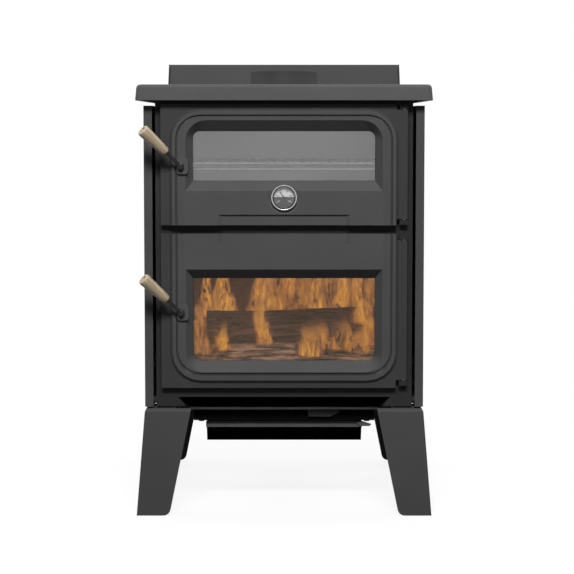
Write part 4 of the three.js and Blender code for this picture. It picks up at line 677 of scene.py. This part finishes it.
def tongue(form, fading, foot, height, low, high, heat, lean, curl, phase):
    """A flattened, swaying flame: low and high are its half widths at foot and tip."""
    layers = form.verts.layers.float_color
    layer = layers.get("tongue_shape") or layers.new("tongue_shape")
    rings = []
    for row in range(FLAME_ROWS + 1):
        up = row / FLAME_ROWS
        rounding = min(1.0, (up / 0.12 + 0.02) ** 0.5) * (1 - 0.96 * up ** 6) ** 0.5
        broad = (low + (high - low) * up) * rounding
        sway = lean * up + curl * math.sin(phase + 5.2 * up)
        middle = Vector(foot) + Vector((sway, 0, height * up))
        ring = []
        for side in range(FLAME_SIDES):
            angle = 2 * math.pi * side / FLAME_SIDES
            out = Vector((math.cos(angle), FLAME_FLATNESS * math.sin(angle), 0))
            point = form.verts.new(middle + broad * out)
            point[layer] = (math.sin(angle) ** 2, up * fading, heat, 1)
            ring.append(point)
        rings.append(ring)
    for here, beside in zip(rings, rings[1:]):
        for side in range(FLAME_SIDES):
            near = (side + 1) % FLAME_SIDES
            form.faces.new((here[side], here[near], beside[near], beside[side]))
    form.faces.new(rings[0][::-1])
    form.faces.new(rings[-1])


def flames(name, fading, tongues):
    """One body of flames; where fading is 1 their tips thin out, and less keeps them whole."""
    form = bmesh.new()
    for values in tongues:
        tongue(form, fading, *values)
    fire = made(name, form, 180.0)
    fire.data.materials.append(gas.material)
    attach(fire, "body")


# Of each flame: foot, height, half widths at foot and tip, heat, lean, sway and its phase.
flames("flames_behind_logs", 0.5, [
    ((-0.186, -0.044, 0.370), 0.160, 0.03, 0.012, 0.9, 0.008, 0.002, 0.4),
    ((-0.14, -0.030, 0.370), 0.160, 0.068, 0.012, 0.75, -0.008, 0.001, 2.6),
    ((-0.132, -0.044, 0.385), 0.145, 0.044, 0.012, 1.0, -0.008, 0.002, 1.0),
    ((-0.03, -0.026, 0.370), 0.162, 0.088, 0.05, 0.45, -0.004, 0.002, 1.2),
    ((-0.055, -0.044, 0.385), 0.147, 0.05, 0.026, 0.7, 0.006, 0.003, 3.0),
    ((0.05, -0.034, 0.370), 0.162, 0.085, 0.065, 0.5, 0.0, 0.002, 5.1),
    ((0.122, -0.024, 0.370), 0.162, 0.08, 0.06, 0.55, 0.0, 0.002, 0.9),
    ((0.004, -0.052, 0.395), 0.137, 0.034, 0.022, 0.7, 0.006, 0.003, 4.2),
    ((0.07, -0.052, 0.385), 0.147, 0.042, 0.03, 0.9, 0.004, 0.003, 2.2),
    ((0.13, -0.052, 0.385), 0.147, 0.036, 0.024, 0.7, 0.002, 0.003, 4.4),
    ((0.172, -0.044, 0.395), 0.137, 0.024, 0.02, 0.55, 0.002, 0.002, 1.7),
    ((0.2, -0.044, 0.365), 0.155, 0.03, 0.022, 0.2, 0.0, 0.003, 2.9),
])
flames("flames_on_logs", 0.7, [
    ((-0.05, -0.126, 0.35), 0.11, 0.027, 0.024, 0.9, 0.0, 0.006, 0.8),
    ((-0.193, -0.128, 0.34), 0.14, 0.027, 0.018, 0.3, 0.002, 0.003, 2.0),
    ((0.178, -0.126, 0.404), 0.064, 0.034, 0.026, 0.65, 0.0, 0.003, 3.1),
    ((0.198, -0.126, 0.33), 0.14, 0.024, 0.018, 0.3, 0.0, 0.004, 1.1),
])
flames("flames_in_front", 1.0, [
    ((-0.186, -0.172, 0.34), 0.066, 0.032, 0.02, 0.6, 0.0, 0.002, 0.3),
    ((-0.142, -0.172, 0.348), 0.08, 0.032, 0.014, 0.7, 0.004, 0.003, 2.4),
    ((0.075, -0.17, 0.352), 0.08, 0.066, 0.046, 0.4, 0.004, 0.003, 1.4),
    ((0.061, -0.18, 0.338), 0.046, 0.04, 0.036, 1.1, 0.0, 0.0, 5.4),
    ((0.13, -0.17, 0.35), 0.085, 0.06, 0.036, 0.4, 0.006, 0.004, 2.9),
    ((0.172, -0.17, 0.34), 0.1, 0.046, 0.026, 0.4, 0.006, 0.004, 3.6),
])

# ------------------------------------------------------------------ oven
# A welded box of bare sheet steel with an angle runner on each side, and a rack of round
# chromed wire that stops short of the door and has a second wire below its front edge.

oven_steel = metal("oven_sheet_steel", (0.55, 0.55, 0.555), 0.5, (500.0, 30.0, 500.0), 0.12)
oven_steel.set(Metallic=0.35)
rounded("oven_box", oven_steel, 0.0007, 2)
wire_chrome = metal("dulled_rack_wire", (0.13, 0.13, 0.132), 0.5, (300.0, 300.0, 300.0), 0.1)
wire_chrome.set(Metallic=0.3, Specular_IOR_Level=0.2)


def rod_between(form, start, end, radius, steps=12):
    """A straight wire or rod with slightly rounded ends."""
    length = (Vector(end) - Vector(start)).length
    soft = min(0.4 * radius, 0.001)
    profile = [
        (0, 0), (radius - soft, 0), (radius, soft),
        (radius, length - soft), (radius - soft, length), (0, length),
    ]
    lathe(form, profile, aimed(Vector(start), Vector(end) - Vector(start)), steps)


RACK_WIRE = 0.003
RACK_BAR = 0.002
RACK_BARS = 21
SIDE_INSET = 0.0025
LIP_INSET = 0.017
POST_INSET = 0.004
rack_low, rack_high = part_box("oven_rack")
rack_z = rack_high.z - RACK_WIRE
rack_front, rack_rear = rack_low.y + RACK_WIRE, rack_high.y - RACK_WIRE
rack_half = rack_high.x
form = bmesh.new()
for y in (rack_front, rack_rear):
    rod_between(form, (-rack_half, y, rack_z), (rack_half, y, rack_z), RACK_WIRE)
for x in (-rack_half + SIDE_INSET, rack_half - SIDE_INSET):
    rod_between(form, (x, rack_front, rack_z), (x, rack_rear, rack_z), RACK_WIRE)
lip_half = rack_half - LIP_INSET
lip_z = rack_low.z + RACK_WIRE
rod_between(form, (-lip_half, rack_front, lip_z), (lip_half, rack_front, lip_z), RACK_WIRE)
for x in (-lip_half + POST_INSET, lip_half - POST_INSET):
    rod_between(form, (x, rack_front, lip_z), (x, rack_front, rack_z), RACK_BAR)
for index in range(RACK_BARS):
    x = (2 * index / (RACK_BARS - 1) - 1) * (lip_half - POST_INSET)
    rod_between(form, (x, rack_front, rack_z), (x, rack_rear, rack_z), RACK_BAR, 10)
settle(made("oven_rack_wires", form), wire_chrome, "oven_rack")

# ------------------------------------------------------------------ cooktop and flue
# The cooktop is one heavy iron casting with a turned-down skirt and eased edges, laid on
# fibre rope. The flue collar is a ring cast apart from it, its spigot down in the hole.

# Paler than the other castings' black: painted light, for the cooktop and the rear shield that
# stand highest under the lamps.
top_lit_black = stove_black("cooktop_black_painted_light", (0.083, 0.083, 0.0845), 0.5, 620.0, 0.00025)
rounded("cooktop", top_lit_black, 0.0012)

collar_low, collar_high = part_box("flue_collar")
cooking_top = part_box("cooktop")[1].z
collar_base = Vector(((collar_low.x + collar_high.x) / 2, (collar_low.y + collar_high.y) / 2, 0))
COLLAR_OUTER = (collar_high.x - collar_low.x) / 2
COLLAR_BORE = 0.076
SPIGOT_RADIUS = 0.07925
COLLAR_SEAT = cooking_top + 0.0003
form = bmesh.new()
lathe(form, [
    (COLLAR_BORE, collar_low.z),
    (SPIGOT_RADIUS - 0.001, collar_low.z),
    (SPIGOT_RADIUS, collar_low.z + 0.001),
    (SPIGOT_RADIUS, COLLAR_SEAT),
    (COLLAR_OUTER - 0.001, COLLAR_SEAT),
    (COLLAR_OUTER, COLLAR_SEAT + 0.001),
    (COLLAR_OUTER, COLLAR_SEAT + 0.006),
    (COLLAR_OUTER - 0.0012, COLLAR_SEAT + 0.0075),
    (COLLAR_OUTER - 0.0012, collar_high.z - 0.0022),
    (COLLAR_OUTER - 0.0019, collar_high.z - 0.0006),
    (COLLAR_OUTER - 0.0034, collar_high.z),
    (COLLAR_BORE + 0.0018, collar_high.z),
    (COLLAR_BORE + 0.0005, collar_high.z - 0.0006),
    (COLLAR_BORE, collar_high.z - 0.0018),
    (COLLAR_BORE, collar_low.z),
], Matrix.Translation(collar_base), 128)
collar_iron = stove_black("collar_stove_black", (0.042, 0.042, 0.043), 0.55, 620.0, 0.00025)
settle(made("flue_collar_ring", form, 50.0), collar_iron, "flue_collar")


def spun_fibre(name, colour):
    """Knitted or woven fibre, darker between its strands."""
    fibre = Finish(name, Specular_IOR_Level=0.1)
    strands = fibre.noise(900.0, 3.0)
    fibre.set(
        Base_Color=fibre.mix(strands, tuple(0.55 * part for part in colour), colour),
        Roughness=0.9 + 0.08 * strands,
        Normal=fibre.relief(strands, 0.0004, 0.7),
    )
    return fibre


rope_fibre = spun_fibre("knitted_glass_fibre", (0.33, 0.32, 0.3))
dress("cooktop_rope", rope_fibre)

# ------------------------------------------------------------------ outer panels
# Pressed steel panels stand off the body on welded spacers, one at each side and a taller
# one behind, so that air can rise between them and the hot walls.

for node in ("left_side_panel", "right_side_panel"):
    rounded(node, sheet_steel, 0.0009)
# The rear shield wears the cooktop's paler black, as painted light.
rounded("rear_heat_shield", top_lit_black, 0.0009)

# ------------------------------------------------------------------ doors
# The two doors are iron castings that share one raised panel, ridge and groove. Each has
# a sunk window, hinge notches at its right and a boss for the latch at its left.

door_iron = stove_black("door_stove_black", CAST_BLACK, 0.5, 620.0, 0.00025)
door_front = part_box("firebox_door")[0].y
BORDER_SIDE = 0.218                  # the doors' sunk border, darkened with painted shade, lies outside these lines
BORDER_FOOT = 0.317
BORDER_TOP = 0.878
BORDER_SUNK = 0.0055                 # and this far behind the front
BORDER_SOFT = 0.001
BORDER_PAINTED_SHADE = (0.004, 0.004, 0.004)
border_face = door_front + BORDER_SUNK
sunk = door_iron.axis("Y").step(border_face - BORDER_SOFT, border_face + BORDER_SOFT)
aside = door_iron.axis("X").absolute().step(BORDER_SIDE - BORDER_SOFT, BORDER_SIDE + BORDER_SOFT)
below = 1 - door_iron.axis("Z").step(BORDER_FOOT - BORDER_SOFT, BORDER_FOOT + BORDER_SOFT)
above = door_iron.axis("Z").step(BORDER_TOP - BORDER_SOFT, BORDER_TOP + BORDER_SOFT)
shaded_border = sunk * (aside + below + above).clamped()
# Painted shade: the sunk border is darkened as if it lay in the raised panel's shadow.
door_iron.set(Base_Color=door_iron.mix(0.42 * shaded_border, door_iron.paint, BORDER_PAINTED_SHADE))
for node in ("oven_door", "firebox_door"):
    rounded(node, door_iron, 0.0011)

ROPE_WIDTH = 0.0084
ROPE_BEND = 0.0082
ROPE_STEP = 0.0022
ROPE_POINTS = 14
BEND_STEPS = 8
BRAID_PITCH = 0.011


def rope_route(low, high):
    """Points and outward directions round a rounded rectangle in X and Z."""
    half = ROPE_WIDTH / 2
    left, right = low.x + half + ROPE_BEND, high.x - half - ROPE_BEND
    bottom, top = low.z + half + ROPE_BEND, high.z - half - ROPE_BEND
    route = []
    corners = ((right, top, 0), (left, top, 90), (left, bottom, 180), (right, bottom, 270))
    for index, (x, z, angle) in enumerate(corners):
        for step in range(BEND_STEPS + 1):
            turn = math.radians(angle + 90 * step / BEND_STEPS)
            out = Vector((math.cos(turn), 0, math.sin(turn)))
            route.append((Vector((x, 0, z)) + out * ROPE_BEND, out))
        follow_x, follow_z, _ = corners[(index + 1) % 4]
        start = route[-1][0]
        end = Vector((follow_x, 0, follow_z)) + out * ROPE_BEND
        count = int((end - start).length / ROPE_STEP)
        route += [(start.lerp(end, step / count), out) for step in range(1, count)]
    return route


def door_rope(node):
    """A braided rope laid in a loop and pressed to a flat oval between door and frame."""
    low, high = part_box(node)
    middle = (low.y + high.y) / 2
    thick = (high.y - low.y) / 2
    form = bmesh.new()
    rings = []
    travelled = 0.0
    last = None
    for point, out in rope_route(low, high):
        travelled += (point - last).length if last else 0.0
        last = point
        centre = Vector((point.x, middle, point.z))
        along = 2 * math.pi * travelled / BRAID_PITCH
        ring = []
        for index in range(ROPE_POINTS):
            angle = 2 * math.pi * index / ROPE_POINTS
            braid = abs(math.sin(2 * angle + along / 2) * math.sin(2 * angle - along / 2))
            size = 0.9 + 0.1 * braid
            aside = ROPE_WIDTH / 2 * math.cos(angle) * size
            depth = thick * math.sin(angle) * size
            ring.append(form.verts.new(centre + out * aside + Vector((0, depth, 0))))
        rings.append(ring)
    for index, here in enumerate(rings):
        beside = rings[(index + 1) % len(rings)]
        for spot in range(ROPE_POINTS):
            near = (spot + 1) % ROPE_POINTS
            form.faces.new((here[spot], beside[spot], beside[near], here[near]))
    settle(made(f"{node}_braid", form, 180.0), rope_fibre, node)


for node in ("oven_door_rope", "firebox_door_rope"):
    door_rope(node)

# ------------------------------------------------------------------ windows
# Each window is a pane of coated ceramic glass between a fibre gasket and a pressed steel
# retainer, which is screwed to the inside of the door's rim with pan-head screws.


def pane(name, tint, reflection):
    """Coated glass: it mirrors a share of the room and lets the rest of the view through."""
    glass = Finish(name, Metallic=1.0, Base_Color=tint)
    smears = glass.noise(5.0, 4.0, swirl=1.5)
    glass.set(
        Roughness=0.06 + 0.1 * smears,
        Alpha=reflection + 0.05 * (smears - 0.5),
    )
    return glass


oven_pane = pane("oven_window_glass", (0.66, 0.66, 0.665), 0.162)
fire_pane = pane("firebox_window_glass", (0.62, 0.44, 0.33), 0.06)
dress("oven_glass", oven_pane)
dress("firebox_glass", fire_pane)
SCREW_RADIUS = 0.0032
SCREW_RISE = 0.0018
SCREW_INSET = 0.0036
SCREW_PITCH = 0.12
SHEET = 0.002
screw = [
    (0, 0), (SCREW_RADIUS, 0), (SCREW_RADIUS, 0.0007),
    (0.6 * SCREW_RADIUS, SCREW_RISE), (0, SCREW_RISE),
]
for door in ("oven", "firebox"):
    dress(f"{door}_glass_gasket", rope_fibre)
    rounded(f"{door}_glass_retainer", dull_steel, 0.0004, 2)
    low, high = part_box(f"{door}_glass_retainer")
    foot = low.y + SHEET
    form = bmesh.new()
    across = (low.x + SCREW_INSET, high.x - SCREW_INSET)
    upright = (low.z + SCREW_INSET, high.z - SCREW_INSET)
    places = [(x, z) for x in across for z in (upright[0] + 0.03, upright[1] - 0.03)]
    places += [(x, z) for z in upright for x in (-SCREW_PITCH, 0.0, SCREW_PITCH)]
    for x, z in places:
        lathe(form, screw, aimed(Vector((x, foot, z)), (0, 1, 0)), 16)
    screws = made(f"{door}_retainer_screws", form)
    screws.data.materials.append(stainless.material)
    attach(screws, f"{door}_door_leaf")

# ------------------------------------------------------------------ hinges
# Four hardened pins of ground steel stand in the frame's lugs and reach into the doors,
# so that each door lifts off once its upper pin is drawn.

PIN_RADIUS = 0.003
pin_steel = metal("ground_pin_steel", (0.2, 0.2, 0.205), 0.36, (400.0, 400.0, 40.0))
pins = [f"{door}_hinge_pin_{end}" for door in ("oven", "firebox") for end in ("lower", "upper")]
for node in pins:
    low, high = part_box(node)
    form = bmesh.new()
    middle = (low + high) / 2
    rod_between(form, (middle.x, middle.y, low.z), (middle.x, middle.y, high.z), PIN_RADIUS, 24)
    settle(made(f"{node}_ground", form), pin_steel, node)

# ------------------------------------------------------------------ latches
# A blackened steel shaft turns in the door's boss. A round rod is screwed into its hub and
# carries a turned wooden grip outside; inside, a steel cam turns into the frame's pocket.

blackened = stove_black("oil_blackened_steel", (0.011, 0.011, 0.0113), 0.34, 300.0, 0.00003)
blackened.set(Specular_IOR_Level=0.22)

BEECH_PALE = (0.50, 0.415, 0.30)
BEECH_RING = (0.33, 0.255, 0.165)
BEECH_FLECK = (0.25, 0.15, 0.08)


def turned_beech():
    """Pale waxed beech: long grain along the grip and short darker flecks."""
    wood = Finish("waxed_pale_beech", Specular_IOR_Level=0.35)
    rings = wood.noise(1.0, 3.0, place=wood.stretched((260.0, 260.0, 14.0)), swirl=0.6)
    flecks = wood.noise(1.0, 2.0, place=wood.stretched((900.0, 900.0, 160.0)))
    tone = wood.mix(rings.step(0.35, 0.68), BEECH_PALE, BEECH_RING)
    wood.set(
        Base_Color=wood.mix(0.35 * flecks.step(0.55, 0.7), tone, BEECH_FLECK),
        Roughness=0.42 + 0.15 * rings,
        Normal=wood.relief(rings + 0.4 * flecks, 0.00015, 0.5),
    )
    return wood


beech = turned_beech()
HANDLE_LEAN = math.radians(45)
HANDLE_TILT = math.radians(20)
handle_line = Vector((
    -math.cos(HANDLE_TILT) * math.sin(HANDLE_LEAN),
    -math.sin(HANDLE_TILT),
    math.cos(HANDLE_TILT) * math.cos(HANDLE_LEAN),
))
SHAFT_RADIUS = 0.005
HUB_RADIUS = 0.0075
HUB_LENGTH = 0.009
ROD_RADIUS = 0.004
ROD_FREE_LENGTH = 0.046
ROD_IN_GRIP = 0.052
CHAMFER = 0.0006
LATCH_X = -0.226
HUB_FRONT = -0.28872                 # where the hub's front face lies, front to back
LATCH_HEIGHTS = {"oven": 0.775, "firebox": 0.453}
GRIP_PROFILE = [                     # radius and height, from the rod's end to the hollow free end
    (0.0043, 0), (0.0078, 0), (0.0094, 0.0009), (0.0101, 0.0028), (0.0108, 0.012),
    (0.0115, 0.024), (0.0123, 0.04), (0.0131, 0.056), (0.0135, 0.067), (0.0134, 0.0705),
    (0.0126, 0.0728), (0.0108, 0.074), (0.0074, 0.074), (0.0066, 0.0733), (0.0065, 0.066),
    (0.0043, 0.066), (0.0043, 0),
]
for door, height in LATCH_HEIGHTS.items():
    node = f"{door}_latch_handle"
    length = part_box(node)[1].y - HUB_FRONT
    form = bmesh.new()
    hub_start = Vector((LATCH_X, HUB_FRONT, height))
    lathe(form, [
        (0, 0), (HUB_RADIUS - 0.0022, 0), (HUB_RADIUS - CHAMFER, 0.0008), (HUB_RADIUS, 0.0024),
        (HUB_RADIUS, HUB_LENGTH - CHAMFER), (HUB_RADIUS - CHAMFER, HUB_LENGTH),
        (SHAFT_RADIUS, HUB_LENGTH), (SHAFT_RADIUS, length - CHAMFER),
        (SHAFT_RADIUS - CHAMFER, length), (0, length),
    ], aimed(hub_start, (0, 1, 0)), 36)
    settle(made(f"{door}_latch_shaft", form), blackened, node)
    rod_base = hub_start + Vector((0, HUB_LENGTH / 2, 0))
    form = bmesh.new()
    rod_end = rod_base + handle_line * (ROD_FREE_LENGTH + ROD_IN_GRIP)
    rod_between(form, rod_base, rod_end, ROD_RADIUS, 24)
    settle(made(f"{door}_latch_rod", form), blackened, node)
    form = bmesh.new()
    lathe(form, GRIP_PROFILE, Matrix.Identity(4), 48)
    grip = made(f"{door}_latch_turned_grip", form, 60.0)
    grip.matrix_world = aimed(rod_base + handle_line * ROD_FREE_LENGTH, handle_line)
    settle(grip, beech, f"{door}_latch_grip")
    rounded(f"{door}_latch_cam", blackened, 0.0006, 2)

# ------------------------------------------------------------------ door thermometer
# A drawn steel case with a polished bezel sits in a dished seat in the oven door. Under a
# domed lens a printed dial shows plain numbers, with a red needle on its spindle.

bezel_chrome = metal("polished_bezel", (0.5, 0.5, 0.505), 0.2, (80.0, 80.0, 80.0))
case_low, case_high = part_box("thermometer_case")
gauge = Vector((0, case_low.y, (case_low.z + case_high.z) / 2))
bezel_radius = (case_high.x - case_low.x) / 2
CASE_RADIUS = 0.0243
BEZEL_DEPTH = 0.0082
case_depth = case_high.y - case_low.y
CASE_SHEET = 0.0006
bored = CASE_RADIUS - CASE_SHEET
bezel_bore = CASE_RADIUS + 0.0006
form = bmesh.new()
lathe(form, [
    (bezel_bore, 0.0016), (CASE_RADIUS + 0.0013, 0.0004), (CASE_RADIUS + 0.002, 0),
    (bezel_radius - 0.0008, 0.0001), (bezel_radius - 0.0001, 0.0008), (bezel_radius, 0.0026),
    (bezel_radius, BEZEL_DEPTH), (bezel_bore, BEZEL_DEPTH), (bezel_bore, 0.0016),
], aimed(gauge, (0, 1, 0)), 96)
settle(made("thermometer_bezel", form), bezel_chrome, "thermometer_case")
form = bmesh.new()
lathe(form, [
    (bored, 0.0018), (CASE_RADIUS + 0.0005, 0.0018), (CASE_RADIUS + 0.0005, 0.003),
    (CASE_RADIUS, 0.003), (CASE_RADIUS, case_depth), (0, case_depth),
    (0, case_depth - CASE_SHEET), (bored, case_depth - CASE_SHEET), (bored, 0.0018),
], aimed(gauge, (0, 1, 0)), 96)
settle(made("thermometer_drawn_case", form), dull_steel, "thermometer_case")

clear_glass = pane("thermometer_lens_glass", (0.6, 0.6, 0.6), 0.05)
LENS_DOME = 0.0006
LENS_DEPTH = 0.0014
DOME_STEPS = 8
lens_front = Vector((0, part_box("thermometer_lens")[0].y, gauge.z))
lens_radius = CASE_RADIUS - 0.0004
dome = []
for step in range(DOME_STEPS + 1):
    angle = math.pi / 2 * step / DOME_STEPS
    dome.append((lens_radius * math.sin(angle), LENS_DOME * (1 - math.cos(angle))))
form = bmesh.new()
lathe(form, dome + [(lens_radius, LENS_DEPTH), (0, LENS_DEPTH)], aimed(lens_front, (0, 1, 0)), 64)
settle(made("thermometer_domed_lens", form), clear_glass, "thermometer_lens")

DIAL_PALE = (0.56, 0.56, 0.56)
DIAL_DARK = (0.06, 0.06, 0.062)
DARK_HALF_TOP = 0.0012               # the dark lower half ends this far above the middle
dial_print = Finish("printed_dial", Specular_IOR_Level=0.3)
dial_height = dial_print.axis("Z") - gauge.z
dial_lower = (DARK_HALF_TOP - dial_height).step(-0.0002, 0.0002)
brushing = dial_print.noise(1.0, 3.0, place=dial_print.stretched((200.0, 200.0, 2600.0)))
dial_print.set(
    Base_Color=dial_print.mix(dial_lower, DIAL_PALE, DIAL_DARK),
    Roughness=0.45 + 0.2 * brushing,
    Metallic=0.25,
)
dial_low, dial_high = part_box("thermometer_dial")
form = bmesh.new()
DIAL_EDGE = 0.0002
BEHIND_NEEDLE = 0.00004              # so that the needle turns just off the dial
dial_radius = bored - DIAL_EDGE
dial_depth = dial_high.y - dial_low.y
disc = [
    (0, 0), (dial_radius - DIAL_EDGE, 0), (dial_radius, DIAL_EDGE),
    (dial_radius, dial_depth), (0, dial_depth),
]
lathe(form, disc, aimed(Vector((0, dial_low.y + BEHIND_NEEDLE, gauge.z)), (0, 1, 0)), 72)
settle(made("thermometer_printed_dial", form), dial_print, "thermometer_dial")
INK_COLOURS = {True: (0.02, 0.02, 0.02), False: (0.62, 0.62, 0.6)}    # dark on pale, pale on dark
inks = {}
for dark, colour in INK_COLOURS.items():
    ink = Finish("dial_ink_dark" if dark else "dial_ink_pale", Base_Color=colour)
    ink.set(Roughness=0.5 + 0.2 * ink.noise(800.0))
    inks[dark] = ink
SWEEP_START = 215.0                 # degrees from +X seen from the front, at the lowest mark
SWEEP = 250.0
marks = {True: bmesh.new(), False: bmesh.new()}
TICKS = 26
TICK_END = 0.0208
TICK_STARTS = {True: 0.0176, False: 0.0192}              # of the long and the short marks
TICK_HALF_WIDTHS = {True: 0.00042, False: 0.00022}
PRINT_DEPTH = 0.00005
TICKS_AHEAD = 0.00006                # in front of the dial's packed face, as are the numbers
for tick in range(TICKS):
    angle = math.radians(SWEEP_START - SWEEP * tick / (TICKS - 1))
    long = tick % 5 == 0
    out = Vector((math.cos(angle), 0, math.sin(angle)))
    side = Vector((-out.z, 0, out.x)) * TICK_HALF_WIDTHS[long]
    centre = Vector((0, dial_low.y - TICKS_AHEAD, gauge.z))
    inner, outer = centre + out * TICK_STARTS[long], centre + out * TICK_END
    corners = [inner - side, outer - side, outer + side, inner + side]
    form = marks[out.z * TICK_STARTS[long] > 0.001]
    front = [form.verts.new(corner) for corner in corners]
    rear = [form.verts.new(corner + Vector((0, PRINT_DEPTH, 0))) for corner in corners]
    form.faces.new(front)
    form.faces.new(rear[::-1])
    for index in range(4):
        near = (index + 1) % 4
        form.faces.new((front[index], rear[index], rear[near], front[near]))
for dark, form in marks.items():
    ticks = made(f"dial_marks_{'dark' if dark else 'pale'}", form)
    ticks.data.materials.append(inks[dark].material)
    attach(ticks, "oven_door_leaf")
NUMBER_RADIUS = 0.0142
NUMBER_HEIGHT = 0.0044
NUMBERS_AHEAD = 0.00008
for index, number in enumerate(("50", "100", "150", "200", "250", "300")):
    angle = math.radians(SWEEP_START - SWEEP * index / 5)
    figure = bpy.data.curves.new(f"dial_number_{number}", "FONT")
    figure.body = number
    figure.size = NUMBER_HEIGHT
    figure.extrude = 0.00003
    figure.align_x = "CENTER"
    figure.align_y = "CENTER"
    figure.resolution_u = 3
    mark = bpy.data.objects.new(f"dial_number_{number}", figure)
    height = NUMBER_RADIUS * math.sin(angle)
    mark.location = (NUMBER_RADIUS * math.cos(angle), dial_low.y - NUMBERS_AHEAD, gauge.z + height)
    mark.rotation_euler = (math.radians(90), 0, 0)
    scene.collection.objects.link(mark)
    figure.materials.append(inks[height > 0.0005].material)
    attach(mark, "oven_door_leaf")

needle_red = Finish("needle_red_lacquer", Base_Color=(0.07, 0.016, 0.014))
needle_red.set(Roughness=0.35 + 0.2 * needle_red.noise(600.0))
rounded("thermometer_needle", needle_red, 0.00015, 1)
